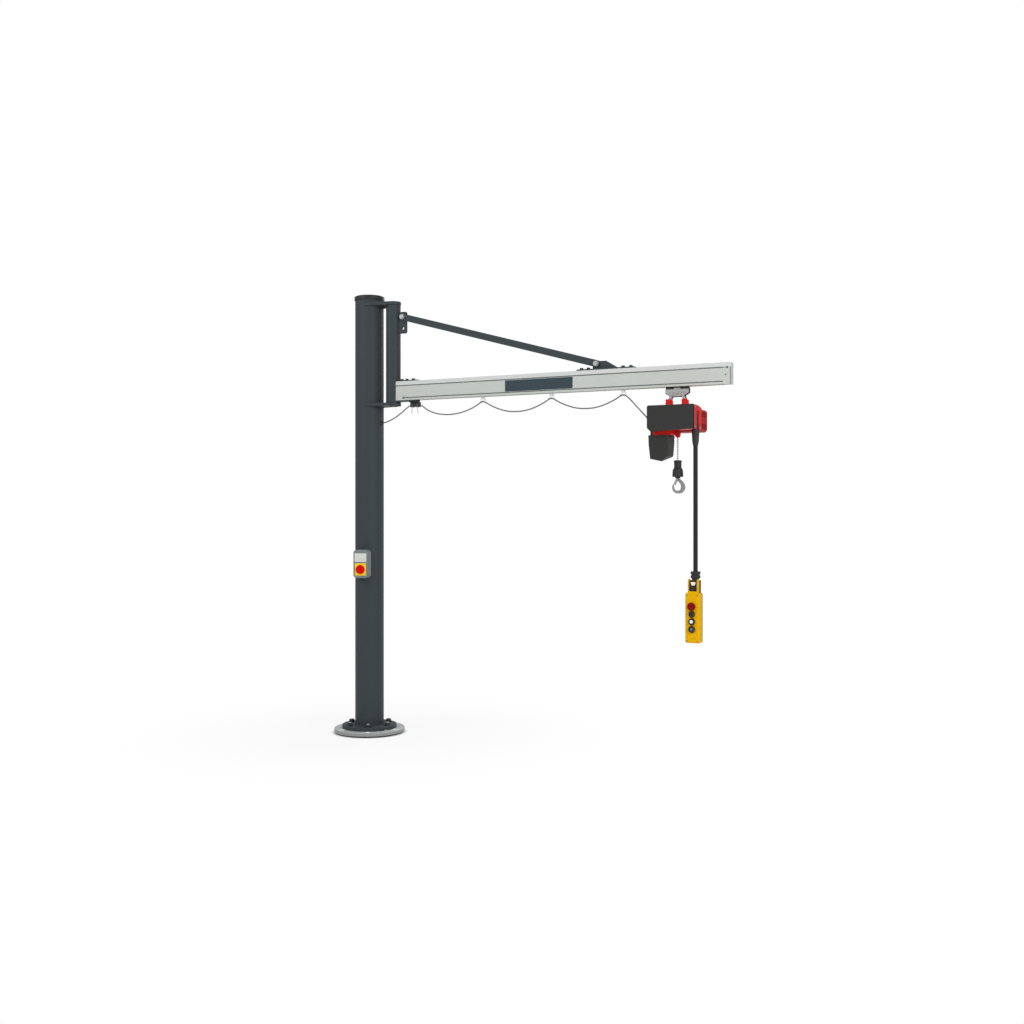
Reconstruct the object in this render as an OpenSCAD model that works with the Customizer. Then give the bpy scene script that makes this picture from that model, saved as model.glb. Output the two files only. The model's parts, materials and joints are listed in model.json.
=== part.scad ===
// Slewing jib crane on a round column, with a track trolley and an electric chain hoist.
// Millimetres. Origin on the floor at the column axis, +Z up, +X along the jib at rest.

/* [Foot] */
// Diameter of the anchor plate that is fixed to the floor
anchor_plate_d = 413; // [400:1:460]
// Thickness of the anchor plate
anchor_plate_t = 28; // [18:1:34]
// Chamfer under the rim of the anchor plate
anchor_plate_chamfer = 5; // [2:0.5:7]
// Pitch circle of the floor anchors
anchor_pcd = 360; // [358:1:364]
// Diameter of the floor anchor holes
anchor_hole_d = 32; // [18:1:34]
// Number of floor anchors, and of flange bolts
foot_bolt_count = 6; // [4:1:8]
// Diameter of the column's own flange
flange_d = 320; // [300:1:322]
// Thickness of the column's own flange
flange_t = 20; // [12:1:26]
// Pitch circle of the flange bolts
flange_pcd = 252; // [240:1:260]
// Thread of the flange bolts
flange_bolt_d = 20; // [12:1:22]

/* [Column] */
// Outside diameter of the column tube
column_d = 168.3; // [150:0.1:172]
// Wall of the column tube
column_wall = 6.3; // [4:0.1:10]
// Height of the whole crane, to the top of the cap
crane_h = 2575; // [2560:1:2700]
// Thickness of the cap over the tube's end
cap_t = 8; // [5:0.5:12]
// Height of the cap's skirt down the tube
cap_skirt = 20; // [10:1:24]
// Wall of the cap's skirt
cap_wall = 4; // [2:0.1:6]
// Height of the cable outlet above the floor
outlet_z = 1825; // [1600:1:1880]

/* [Bearing arms] */
// Distance from the column axis to the pivot axis
pivot_x = 167; // [160:1:180]
// Thickness of the bearing arms
arm_t = 18; // [12:1:24]
// Radius of an arm's nose round the pivot
arm_nose_r = 45; // [44:1:50]
// Width of the land where an arm leaves the column
arm_land = 3; // [2:0.5:6]
// Height of the lower arm's top face
lower_arm_z = 1938; // [1930:1:1939]
// Height of the upper arm's underside
upper_arm_z = 2510; // [2480:1:2514]
// Diameter of the pivot pins
pin_d = 40; // [30:1:46]
// Thickness of the bearing washers between the arms and the pivot tube
washer_t = 2; // [1:0.5:4]

/* [Main switch] */
// Width of the switch housing
switch_w = 88; // [84:1:100]
// Height of the switch housing
switch_h = 163; // [156:1:180]
// Depth of the switch housing
switch_depth = 55; // [40:1:70]
// Height of the housing's lower edge above the floor
switch_z = 917; // [800:1:1200]
// Direction that the switch faces, about the column
switch_azimuth = -78; // [-100:1:-60]
// Diameter of the rotary knob
knob_d = 53; // [40:1:58]

/* [Jib] */
// Outside diameter of the pivot tube
pivot_tube_d = 86; // [80:0.1:88]
// Wall of the pivot tube
pivot_tube_wall = 6; // [4:0.5:8]
// Width of the track profile
jib_w = 54; // [52:1:60]
// Height of the track profile
jib_h = 111; // [105:1:120]
// Height of the track profile's underside above the floor
jib_z = 1949; // [1949:1:1956]
// Wall of the track profile
jib_wall = 7.5; // [5:0.5:8]
// Distance from the column axis to the jib's tip
jib_tip_x = 2201; // [2150:1:2400]
// Length of the end cap
end_cap_l = 40; // [25:1:60]
// Width of the slot under the track
track_slot_w = 16; // [14:0.5:18]
// Thickness of the lips that carry the wheels
track_lip_t = 7; // [5:0.5:9]
// Height of the running chamber of the track
track_h = 39; // [37:0.5:42]
// Thickness of the root clamp plates
clamp_plate_t = 6; // [4:0.5:6]
// Distance from the column axis to the end of the root clamp plates
clamp_plate_x = 339; // [330:1:360]
// Length of the plain field for a name plate
name_plate_l = 409; // [300:1:420]

/* [Tie] */
// Distance from the column axis to the rear tie pin
tie_rear_x = 237; // [235:1:250]
// Height of the rear tie pin above the floor
tie_rear_z = 2436; // [2400:1:2450]
// Distance from the column axis to the front tie pin
tie_front_x = 1458; // [1300:1:1560]
// Height of the front tie pin above the jib's top
tie_front_lift = 35; // [32:1:44]
// Height of the tie rod's section
tie_h = 38; // [30:1:42]
// Width of the tie rod's section
tie_w = 30; // [24:1:34]
// Thickness of the lug that the tie rod's fork holds
tie_lug_t = 12; // [8:1:15]
// Thickness of the rear bracket
tie_bracket_t = 12; // [8:1:15]
// Thread of the tie bolts
tie_bolt_d = 16; // [12:1:20]

/* [Festoon] */
// Diameter of the festoon cable
cable_d = 7.5; // [6:0.5:9]
// Length of a cable glider's slider
glider_l = 32; // [24:1:40]

/* [Trolley] */
// Distance from the column axis to the middle of the trolley
trolley_x = 1912; // [1900:1:1920]
// Length of the trolley
trolley_l = 125; // [118:1:132]
// Diameter of the trolley wheels
wheel_d = 30; // [24:0.5:32]
// Height of the load plates
load_plate_h = 38; // [34:1:40]
// Thickness of each load plate
load_plate_t = 4; // [3:0.5:6]

/* [Hoist] */
// Height of the housing's top above the floor
hoist_top_z = 1848; // [1844:1:1850]
// Height of the housing
hoist_h = 126; // [122:1:130]
// Width of the housing along the jib
hoist_w = 253; // [245:1:262]
// Distance from the chain to the housing's outer side
hoist_out = 126; // [122:1:134]
// Reach of the housing in front of the chain
hoist_front = 110; // [104:1:116]
// Reach of the housing behind the chain
hoist_back = 5; // [3:0.5:8]
// Reach of the motor cover behind the chain
motor_back = 125; // [100:1:140]
// Thickness of the front cover
cover_t = 10; // [8:0.5:12]

/* [Chain and hook] */
// Diameter of the chain's steel
chain_d = 3.2; // [3:0.1:3.6]
// Pitch of the chain
chain_pitch = 9.6; // [9.3:0.1:10.2]
// Number of links that show below the housing, and those just inside it
chain_links = 15; // [12:1:15]
// Height of the hook block's boot
boot_h = 86; // [80:1:90]
// Diameter of the boot's top
boot_top_d = 41; // [36:1:44]
// Diameter of the boot's foot
boot_d = 57; // [50:1:62]
// Inside diameter of the hook's bowl
hook_bowl_d = 33; // [31:0.5:36]
// Diameter of the hook's steel
hook_d = 15; // [13:0.5:17]

/* [Pendant] */
// Width of the pendant body
pendant_w = 75; // [72:1:82]
// Depth of the pendant body
pendant_depth = 56; // [52:1:64]
// Height of the pendant body
pendant_h = 254; // [246:1:262]
// Height of the pendant body's lower end above the floor
pendant_z = 634; // [628:1:640]
// Turn of the pendant on its hose
pendant_turn = -3; // [-15:1:20]
// Diameter of the control hose
hose_d = 23; // [20:1:24]
// Diameter of the emergency button
estop_d = 41; // [36:1:42]
// Diameter of the push buttons' collars
button_d = 33; // [28:1:34]

/* [Clearances] */
// Radial clearance of a running fit
fit = 0.05; // [0.02:0.01:0.1]
// Gap between a soft piece and what lies beside it
soft_gap = 0.3; // [0.2:0.05:0.5]
// Gap between a sliding piece and its guide
slide_gap = 0.5; // [0.3:0.1:1]

/* [Hidden] */
$fn = 64;
fine = 128;
eps = 0.01;

/* ---------- shared shapes ---------- */

module ring_of(count, pcd) {
    for (i = [0 : count - 1]) rotate([0, 0, i * 360 / count]) translate([pcd / 2, 0, 0]) children();
}

// A box from one corner to the opposite one.
module block(low, high) {
    translate(low) cube(high - low);
}

// Lays an outline that is drawn in X and Z along Y, from y0 to y1.
module along_y(y0, y1) {
    translate([0, y1, 0]) rotate([90, 0, 0]) linear_extrude(y1 - y0) children();
}

// Lays an outline that is drawn in Y and Z along X, from x0 to x1.
module along_x(x0, x1) {
    translate([x0, 0, 0]) rotate([90, 0, 90]) linear_extrude(x1 - x0) children();
}

module cylinder_y(r, y0, y1) {
    along_y(y0, y1) circle(r = r);
}

// A flat rectangle between two corners, with round corners of radius r.
module rounded(low, high, r) {
    translate([low[0] + r, low[1]]) square([high[0] - low[0] - 2 * r, high[1] - low[1]]);
    translate([low[0], low[1] + r]) square([high[0] - low[0], high[1] - low[1] - 2 * r]);
    for (x = [low[0] + r, high[0] - r], y = [low[1] + r, high[1] - r])
        translate([x, y]) circle(r = r);
}

// A hexagon head on its washer, from z = 0 up, with a shank below.
module hex_bolt(d, shank) {
    across = 1.5 * d;
    washer_h = 0.15 * d;
    cylinder(d = 1.85 * d, h = washer_h);
    translate([0, 0, washer_h - eps]) cylinder(d = across / cos(30), h = 0.63 * d, $fn = 6);
    translate([0, 0, -shank]) cylinder(d = d, h = shank + eps);
}

/* ---------- foot ---------- */

flange_z = anchor_plate_t;
column_foot_z = anchor_plate_t + flange_t;
column_r = column_d / 2;
column_top_z = crane_h - cap_t;

module anchor_plate() {
    r = anchor_plate_d / 2;
    top_chamfer = 2;
    color("silver")
    difference() {
        rotate_extrude($fn = fine)
            polygon([[0, 0], [r - anchor_plate_chamfer, 0], [r, anchor_plate_chamfer],
                [r, anchor_plate_t - top_chamfer], [r - top_chamfer, anchor_plate_t],
                [0, anchor_plate_t]]);
        ring_of(foot_bolt_count, anchor_pcd)
            translate([0, 0, -1]) cylinder(d = anchor_hole_d, h = anchor_plate_t + 2);
        ring_of(foot_bolt_count, flange_pcd)
            translate([0, 0, -1]) cylinder(r = flange_bolt_d / 2 + fit, h = anchor_plate_t + 2);
    }
}

module base_flange() {
    r = flange_d / 2;
    inner_r = column_r - column_wall;
    edge = 2;
    color("dimgray")
    translate([0, 0, flange_z])
    difference() {
        rotate_extrude($fn = fine)
            polygon([[inner_r, 0], [r, 0], [r, flange_t - edge], [r - edge, flange_t],
                [inner_r, flange_t]]);
        ring_of(foot_bolt_count, flange_pcd)
            translate([0, 0, -1]) cylinder(r = flange_bolt_d / 2 + 1, h = flange_t + 2);
    }
}

module flange_bolts() {
    color("silver")
    ring_of(foot_bolt_count, flange_pcd)
        translate([0, 0, column_foot_z]) hex_bolt(flange_bolt_d, flange_t + anchor_plate_t - 3);
}

/* ---------- column ---------- */

outlet_r = 12;

module column_tube() {
    color("darkslategray")
    difference() {
        translate([0, 0, column_foot_z])
            cylinder(r = column_r, h = column_top_z - column_foot_z, $fn = fine);
        translate([0, 0, column_foot_z - 1])
            cylinder(r = column_r - column_wall, h = column_top_z - column_foot_z + 2, $fn = fine);
        translate([0, 0, outlet_z]) rotate([0, 90, 0]) cylinder(r = outlet_r + fit, h = column_d);
    }
}

// Slightly domed cap with a skirt outside the tube.
module column_cap() {
    in_r = column_r + soft_gap;
    r = in_r + cap_wall;
    low = column_top_z - cap_skirt;
    color("black")
    rotate_extrude($fn = fine)
        polygon([[0, column_top_z], [in_r, column_top_z], [in_r, low], [r - 1, low], [r, low + 2],
            [r, crane_h - 7], [r - 2, crane_h - 4.5], [r - 8, crane_h - 2], [0, crane_h]]);
}

// Outline of a bearing arm: the tangents from the column to the nose, and the nose itself.
module arm_outline() {
    root_r = column_r + arm_land;
    lean = acos((root_r - arm_nose_r) / pivot_x);
    difference() {
        union() {
            polygon([[root_r * cos(lean), root_r * sin(lean)],
                [pivot_x + arm_nose_r * cos(lean), arm_nose_r * sin(lean)],
                [pivot_x + arm_nose_r * cos(lean), -arm_nose_r * sin(lean)],
                [root_r * cos(lean), -root_r * sin(lean)]]);
            translate([pivot_x, 0]) circle(r = arm_nose_r, $fn = fine);
        }
        circle(r = column_r, $fn = fine);
        translate([pivot_x, 0]) circle(r = pin_d / 2 + fit, $fn = fine);
    }
}

// Both arms, the washers that carry the pivot tube, the pin caps and the small gusset.
module bearing_arms() {
    cap_h = 4;
    cap_r = pin_d / 2 + 4;
    gusset_h = 12;
    gusset_x = pivot_x - pivot_tube_r - 5;
    color("darkslategray") {
        for (z = [lower_arm_z - arm_t, upper_arm_z])
            translate([0, 0, z]) linear_extrude(arm_t) arm_outline();
        for (z = [lower_arm_z, pivot_tube_z1])
            translate([pivot_x, 0, z]) difference() {
                cylinder(r = pivot_tube_r - 3, h = washer_t, $fn = fine);
                translate([0, 0, -1]) cylinder(r = pin_d / 2 + fit, h = washer_t + 2, $fn = fine);
            }
        translate([pivot_x, 0, upper_arm_z + arm_t]) cylinder(r1 = cap_r, r2 = cap_r - 1, h = cap_h);
        translate([pivot_x, 0, lower_arm_z - arm_t - cap_h]) cylinder(r1 = cap_r - 1, r2 = cap_r, h = cap_h);
        difference() {
            along_y(-5, 5) polygon([[column_r - 5, upper_arm_z + eps], [gusset_x, upper_arm_z + eps],
                [gusset_x, upper_arm_z - 3], [column_r + 14, upper_arm_z - gusset_h],
                [column_r - 5, upper_arm_z - gusset_h]]);
            translate([0, 0, upper_arm_z - 2 * gusset_h]) cylinder(r = column_r, h = 3 * gusset_h, $fn = fine);
        }
    }
}

module cable_outlet() {
    bush_l = 12;
    inner_x = column_r - column_wall;
    color("black")
    translate([inner_x, 0, outlet_z]) rotate([0, 90, 0])
        difference() {
            union() {
                cylinder(r = outlet_r, h = column_wall + 3);
                translate([0, 0, column_wall]) cylinder(r1 = outlet_r + 2, r2 = outlet_r - 3, h = bush_l);
            }
            translate([0, 0, -1]) cylinder(r = cable_d / 2 + soft_gap, h = column_wall + bush_l + 2);
        }
}

/* ---------- main switch ---------- */

switch_gap = 2;
switch_x0 = column_r + switch_gap;
switch_x1 = switch_x0 + switch_depth;
switch_corner = 12;
label_w = 73;
label_inset = 20;
escutcheon_w = 68;
escutcheon_h = 71;
field_t = 1.5;
field_margin = 14;
field_gap = 8;
knob_z = switch_z + field_margin + escutcheon_h / 2;
label_z = knob_z + escutcheon_h / 2 + field_gap;
label_h = switch_z + switch_h - label_inset - label_z;
spindle_r = 8;

module on_switch() {
    rotate([0, 0, switch_azimuth]) children();
}

// Housing with clipped corners and a lid line, on a foot that is cut to the round of the column.
module switch_housing() {
    half = switch_w / 2;
    lid_t = 18;
    groove = 1.5;
    color("slategray")
    on_switch() difference() {
        union() {
            along_x(switch_x0, switch_x1)
                polygon([[-half + switch_corner, switch_z], [half - switch_corner, switch_z],
                    [half, switch_z + switch_corner], [half, switch_z + switch_h - switch_corner],
                    [half - switch_corner, switch_z + switch_h],
                    [-half + switch_corner, switch_z + switch_h],
                    [-half, switch_z + switch_h - switch_corner], [-half, switch_z + switch_corner]]);
            block([column_r - 15, -half + 14, switch_z + 14],
                [switch_x0 + eps, half - 14, switch_z + switch_h - 14]);
        }
        translate([0, 0, switch_z - 1]) cylinder(r = column_r, h = switch_h + 2, $fn = fine);
        // joint between the case and its lid
        for (side = [-1, 1])
            block([switch_x1 - lid_t - groove, side * half - groove, switch_z - 1],
                [switch_x1 - lid_t, side * half + groove, switch_z + switch_h + 1]);
        translate([0, 0, knob_z]) rotate([0, 90, 0]) cylinder(r = spindle_r + fit, h = switch_x1 + 10);
    }
}

module switch_label_field() {
    color("whitesmoke")
    on_switch() along_x(switch_x1, switch_x1 + field_t)
        rounded([-label_w / 2, label_z], [label_w / 2, label_z + label_h], 3);
}

module switch_escutcheon() {
    color("gold")
    on_switch() difference() {
        along_x(switch_x1, switch_x1 + field_t)
            rounded([-escutcheon_w / 2, knob_z - escutcheon_h / 2],
                [escutcheon_w / 2, knob_z + escutcheon_h / 2], 3);
        translate([switch_x1 - 1, 0, knob_z]) rotate([0, 90, 0])
            cylinder(r = spindle_r + fit, h = field_t + 2);
    }
}

module switch_knob() {
    disc_h = 10;
    grip_h = 14;
    grip_w = 16;
    color("red")
    on_switch() translate([switch_x1 + field_t + slide_gap, 0, knob_z]) rotate([0, 90, 0]) {
        translate([0, 0, -20]) cylinder(r = spindle_r, h = 20 + eps);
        cylinder(d1 = knob_d, d2 = knob_d - 3, h = disc_h);
        intersection() {
            translate([0, 0, disc_h - eps]) cylinder(d1 = knob_d - 5, d2 = knob_d - 9, h = grip_h);
            block([-knob_d, -grip_w / 2, 0], [knob_d, grip_w / 2, disc_h + grip_h]);
        }
    }
}

/* ---------- jib ---------- */

pivot_tube_r = pivot_tube_d / 2;
pivot_tube_z0 = lower_arm_z + washer_t;
pivot_tube_z1 = upper_arm_z - washer_t;
jib_top_z = jib_z + jib_h;
jib_half = jib_w / 2;
saddle_gap = 0.5;
profile_x1 = jib_tip_x - end_cap_l;
track_half = jib_half - jib_wall;
groove_h = 6;
groove_depth = 4;
upper_groove_z = jib_top_z - 29;
lower_groove_z = jib_z + 11;
lower_groove_x = 250;
clamp_bolt_d = 12;
clamp_bolt_x = [228, 261, 304];

// Tube with a plug in each end, and a pin on each plug that turns in its arm.
module pivot_tube() {
    plug_t = 15;
    pin_l = washer_t + arm_t - 0.5;
    inner_r = pivot_tube_r - pivot_tube_wall;
    length = pivot_tube_z1 - pivot_tube_z0;
    color("darkslategray")
    translate([pivot_x, 0, pivot_tube_z0]) {
        difference() {
            cylinder(r = pivot_tube_r, h = length, $fn = fine);
            translate([0, 0, plug_t]) cylinder(r = inner_r, h = length - 2 * plug_t, $fn = fine);
        }
        translate([0, 0, -pin_l]) cylinder(d = pin_d, h = pin_l + eps, $fn = fine);
        translate([0, 0, length - eps]) cylinder(d = pin_d, h = pin_l + eps, $fn = fine);
    }
}

// Plates welded to the pivot tube that hold the profile from above and below.
module root_clamp_plates() {
    half = jib_half - 2;
    color("darkslategray")
    for (z = [jib_top_z, jib_z - clamp_plate_t]) difference() {
        translate([0, 0, z]) linear_extrude(clamp_plate_t)
            polygon([[pivot_x, -half], [clamp_plate_x - 6, -half], [clamp_plate_x, -half + 6],
                [clamp_plate_x, half - 6], [clamp_plate_x - 6, half], [pivot_x, half]]);
        translate([pivot_x, 0, z - 1]) cylinder(r = pivot_tube_r, h = clamp_plate_t + 2, $fn = fine);
        if (z >= jib_top_z) for (x = clamp_bolt_x)
            translate([x, 0, z - 1]) cylinder(r = clamp_bolt_d / 2 + fit, h = clamp_plate_t + 2);
    }
}

// Bolts that hold the root plate and the tie lug to the slot on top of the profile.
module clamp_bolts() {
    color("silver")
    for (p = concat([for (x = clamp_bolt_x) [x, clamp_plate_t]],
            [for (x = tie_foot_bolt_x) [x, tie_foot_t]]))
        translate([p[0], 0, jib_top_z + p[1]]) hex_bolt(clamp_bolt_d, p[1] + 9);
}

// Section of the extruded track: side grooves, bolt slot on top, closed chamber and running track.
module track_section() {
    chamber_z = jib_z + track_lip_t + track_h + 6;
    slot_z = jib_top_z - 14;
    difference() {
        rounded([-jib_half, jib_z], [jib_half, jib_top_z], 2);
        for (side = [-1, 1])
            translate([side * jib_half - groove_depth, upper_groove_z]) square([2 * groove_depth, groove_h]);
        translate([-track_slot_w / 2, jib_z - 1]) square([track_slot_w, track_lip_t + 2]);
        translate([-track_half, jib_z + track_lip_t]) square([2 * track_half, track_h]);
        rounded([-track_half, chamber_z], [track_half, slot_z - 5], 3);
        translate([-clamp_bolt_d / 2 - 1, slot_z]) square([clamp_bolt_d + 2, 15]);
        translate([-14, slot_z]) square([28, 9]);
    }
}

module jib_profile() {
    start = pivot_x + pivot_tube_r / 2;
    color("lightgray")
    difference() {
        along_x(start, profile_x1) track_section();
        translate([pivot_x, 0, jib_z - 1])
            cylinder(r = pivot_tube_r + saddle_gap, h = jib_h + 2, $fn = fine);
        // lower groove, with a round mouth where the sliding nuts go in
        for (side = [-1, 1]) {
            block([lower_groove_x, side * jib_half - groove_depth, lower_groove_z],
                [profile_x1 + 1, side * jib_half + groove_depth, lower_groove_z + groove_h]);
            for (dx = [0, 8]) translate([lower_groove_x + dx, 0, lower_groove_z + groove_h / 2])
                cylinder_y(6, side * jib_half - groove_depth, side * jib_half + groove_depth);
        }
    }
}

// Cap flush with the profile, with eased outer edges and a recess for each screw.
module jib_end_cap() {
    ease = 5;
    color("silver")
    difference() {
        intersection() {
            along_x(profile_x1, jib_tip_x) rounded([-jib_half, jib_z], [jib_half, jib_top_z], 2);
            translate([0, 0, jib_z - 1]) linear_extrude(jib_h + 2)
                polygon([[profile_x1, -jib_half], [jib_tip_x - ease, -jib_half],
                    [jib_tip_x, -jib_half + ease], [jib_tip_x, jib_half - ease],
                    [jib_tip_x - ease, jib_half], [profile_x1, jib_half]]);
        }
        for (side = [-1, 1]) {
            translate([jib_tip_x - 18, 0, upper_groove_z + groove_h / 2])
                cylinder_y(5, side * jib_half - 3, side * jib_half + 3);
            translate([jib_tip_x - 26, 0, jib_z + 48])
                cylinder_y(4, side * jib_half - 2, side * jib_half + 2);
        }
    }
}

inner_stop_x = 372;
stop_l = 18;

// Rubber buffers in the track that end the travel of the trolley and of the gliders.
module track_stops() {
    color("black")
    for (x = [inner_stop_x, trolley_x + trolley_l / 2 + 6])
        block([x, -track_half + slide_gap, jib_z + track_lip_t],
            [x + stop_l, track_half - slide_gap, jib_z + track_lip_t + track_h - slide_gap]);
}

name_plate_x = 918;
name_plate_t = 1.5;

module name_plate() {
    color("darkslategray")
    along_y(-jib_half - name_plate_t, -jib_half)
        rounded([name_plate_x, lower_groove_z + groove_h + 2],
            [name_plate_x + name_plate_l, upper_groove_z - 2], 3);
}

/* ---------- tie ---------- */

tie_front_z = jib_top_z + tie_front_lift;
tie_gap = 0.5;
tie_angle = atan2(tie_rear_z - tie_front_z, tie_front_x - tie_rear_x);
tie_length = norm([tie_front_x - tie_rear_x, tie_rear_z - tie_front_z]);
tie_foot_t = 7;
tie_foot_reach = [-110, 221];
tie_foot_x = [for (reach = tie_foot_reach) tie_front_x + reach];
tie_foot_bolt_reach = [-90, -50, 150, 194];
tie_foot_bolt_x = [for (reach = tie_foot_bolt_reach) tie_front_x + reach];
tie_lug_back = 22;
tie_lug_foot_w = 138;
tie_lug_top_w = 76;
tie_spare_hole_drop = 66;

// Plate with a working hole and a spare one below it.
module tie_bracket() {
    z0 = tie_rear_z - 95;
    z1 = tie_rear_z + 30;
    x1 = tie_rear_x + 23;
    corner = 6;
    color("darkslategray")
    difference() {
        along_y(-tie_bracket_t / 2, tie_bracket_t / 2)
            polygon([[pivot_x, z0], [x1 - corner, z0], [x1, z0 + corner], [x1, z1 - corner],
                [x1 - corner, z1], [pivot_x, z1]]);
        translate([pivot_x, 0, z0 - 1]) cylinder(r = pivot_tube_r, h = z1 - z0 + 2, $fn = fine);
        for (drop = [0, tie_spare_hole_drop]) translate([tie_rear_x, 0, tie_rear_z - drop])
            cylinder_y(tie_bolt_d / 2 + fit, -2 * tie_w, 2 * tie_w);
    }
}

// Rectangular bar with round ends and a fork at each of them.
module tie_rod() {
    r = tie_h / 2;
    fork = 62;
    rear_half = tie_bracket_t / 2 + tie_gap;
    front_half = tie_lug_t / 2 + tie_gap;
    color("darkslategray")
    translate([tie_rear_x, 0, tie_rear_z]) rotate([0, tie_angle, 0]) difference() {
        union() {
            block([0, -tie_w / 2, -r], [tie_length, tie_w / 2, r]);
            for (x = [0, tie_length]) translate([x, 0, 0]) cylinder_y(r, -tie_w / 2, tie_w / 2);
        }
        block([-r - 1, -rear_half, -r - 1], [fork, rear_half, r + 1]);
        block([tie_length - fork, -front_half, -r - 1], [tie_length + r + 1, front_half, r + 1]);
        for (x = [0, tie_length]) translate([x, 0, 0])
            cylinder_y(tie_bolt_d / 2 + fit, -tie_w, tie_w);
    }
}

// Lug on a long foot: upright at the rear, flat on top, and sloping down to the front.
module tie_lug() {
    z0 = jib_top_z + tie_foot_t;
    z1 = tie_front_z + 13;
    x0 = tie_front_x - tie_lug_back;
    half = jib_half - 4;
    color("darkslategray") {
        difference() {
            along_y(-tie_lug_t / 2, tie_lug_t / 2)
                polygon([[x0, z0 - eps], [x0 + tie_lug_foot_w, z0 - eps],
                    [x0 + tie_lug_foot_w, z0 + 4], [x0 + tie_lug_top_w, z1],
                    [x0 + 6, z1], [x0, z1 - 6]]);
            translate([tie_front_x, 0, tie_front_z])
                cylinder_y(tie_bolt_d / 2 + fit, -tie_lug_t, tie_lug_t);
        }
        difference() {
            block([tie_foot_x[0], -half, jib_top_z], [tie_foot_x[1], half, z0]);
            for (x = tie_foot_bolt_x) translate([x, 0, jib_top_z - 1])
                cylinder(r = clamp_bolt_d / 2 + fit, h = tie_foot_t + 2);
        }
    }
}

// A bolt with its nut at each end of the tie rod.
module tie_bolts() {
    head_h = 9;
    color("silver")
    for (p = [[tie_rear_x, tie_rear_z], [tie_front_x, tie_front_z]])
        translate([p[0], 0, p[1]]) rotate([90, 0, 0]) {
            cylinder(d = tie_bolt_d, h = tie_w + 6, center = true);
            for (side = [-1, 1]) {
                translate([0, 0, side * (tie_w / 2 + 1)]) cylinder(d = 1.9 * tie_bolt_d, h = 2, center = true);
                translate([0, 0, side * (tie_w / 2 + 2 + head_h / 2 - eps)])
                    cylinder(d = 1.5 * tie_bolt_d / cos(30), h = head_h, center = true, $fn = 6);
            }
        }
}

/* ---------- cables under the jib ---------- */

clamp_x = [301, 337];
clamp_cable_z = 1917;
glider_x = [764, 1189, 1609];
glider_cable_z = 1920;
// Route of the supply cable from the column outlet to the first clamp
SUPPLY_ROUTE = [[84, 0, 1825], [94, 0, 1825], [105, 0, 1826], [120, 0, 1829], [136, 0, 1834],
    [152, 0, 1840], [170, 0, 1848], [188, 0, 1857], [205, 0, 1867], [222, 0, 1878],
    [238, 0, 1889], [253, 0, 1900], [266, 0, 1909], [277, 0, 1915], [287, 0, 1917],
    [296, 0, 1917], [319, 0, 1917]];
// Routes of the festoon cable, from glider to glider and on to the hoist
FESTOON_1_ROUTE = [[319, 0, 1917], [334, 0, 1917], [352, 0, 1917], [362, 0, 1914], [374, 0, 1906],
    [390, 0, 1895], [412, 0, 1883], [440, 0, 1872], [470, 0, 1864], [505, 0, 1859],
    [540, 0, 1857], [580, 0, 1859], [620, 0, 1865], [655, 0, 1874], [690, 0, 1886],
    [718, 0, 1899], [744, 0, 1914], [755, 0, 1919], [760, 0, 1920], [764, 0, 1920]];
FESTOON_2_ROUTE = [[764, 0, 1920], [768, 0, 1920], [773, 0, 1919], [784, 0, 1914], [815, 0, 1897],
    [849, 0, 1882], [884, 0, 1870], [919, 0, 1862], [953, 0, 1858], [1000, 0, 1858],
    [1034, 0, 1862], [1069, 0, 1870], [1104, 0, 1882], [1138, 0, 1897], [1169, 0, 1914],
    [1180, 0, 1919], [1185, 0, 1920], [1189, 0, 1920]];
FESTOON_3_ROUTE = [[1189, 0, 1920], [1193, 0, 1920], [1198, 0, 1919], [1209, 0, 1914],
    [1239, 0, 1897], [1274, 0, 1882], [1308, 0, 1870], [1342, 0, 1862], [1376, 0, 1858],
    [1422, 0, 1858], [1456, 0, 1862], [1490, 0, 1870], [1524, 0, 1882], [1559, 0, 1897],
    [1589, 0, 1914], [1600, 0, 1919], [1605, 0, 1920], [1609, 0, 1920]];
FESTOON_4_ROUTE = [[1609, 0, 1920], [1613, 0, 1920], [1618, 0, 1919], [1629, 0, 1913],
    [1641, 0, 1903], [1655, 0, 1889], [1670, 0, 1873], [1685, 0, 1857], [1700, 0, 1841],
    [1715, 0, 1825], [1729, -1, 1810], [1742, -4, 1797], [1753, -9, 1785], [1763, -13, 1775],
    [1771, -15, 1769], [1777, -15, 1768], [1792, -15, 1768]];

function unit(v) = v / norm(v);

// Point on a smooth curve through the route, at a place counted in points from its start.
function on_route(route, place) =
    let (i = min(floor(place), len(route) - 2),
        t = place - i,
        a = route[max(i - 1, 0)],
        b = route[i],
        c = route[i + 1],
        d = route[min(i + 2, len(route) - 1)])
    0.5 * ((2 * b) + (c - a) * t + (2 * a - 5 * b + 4 * c - d) * t * t
        + (3 * b - 3 * c + d - a) * t * t * t);

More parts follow.
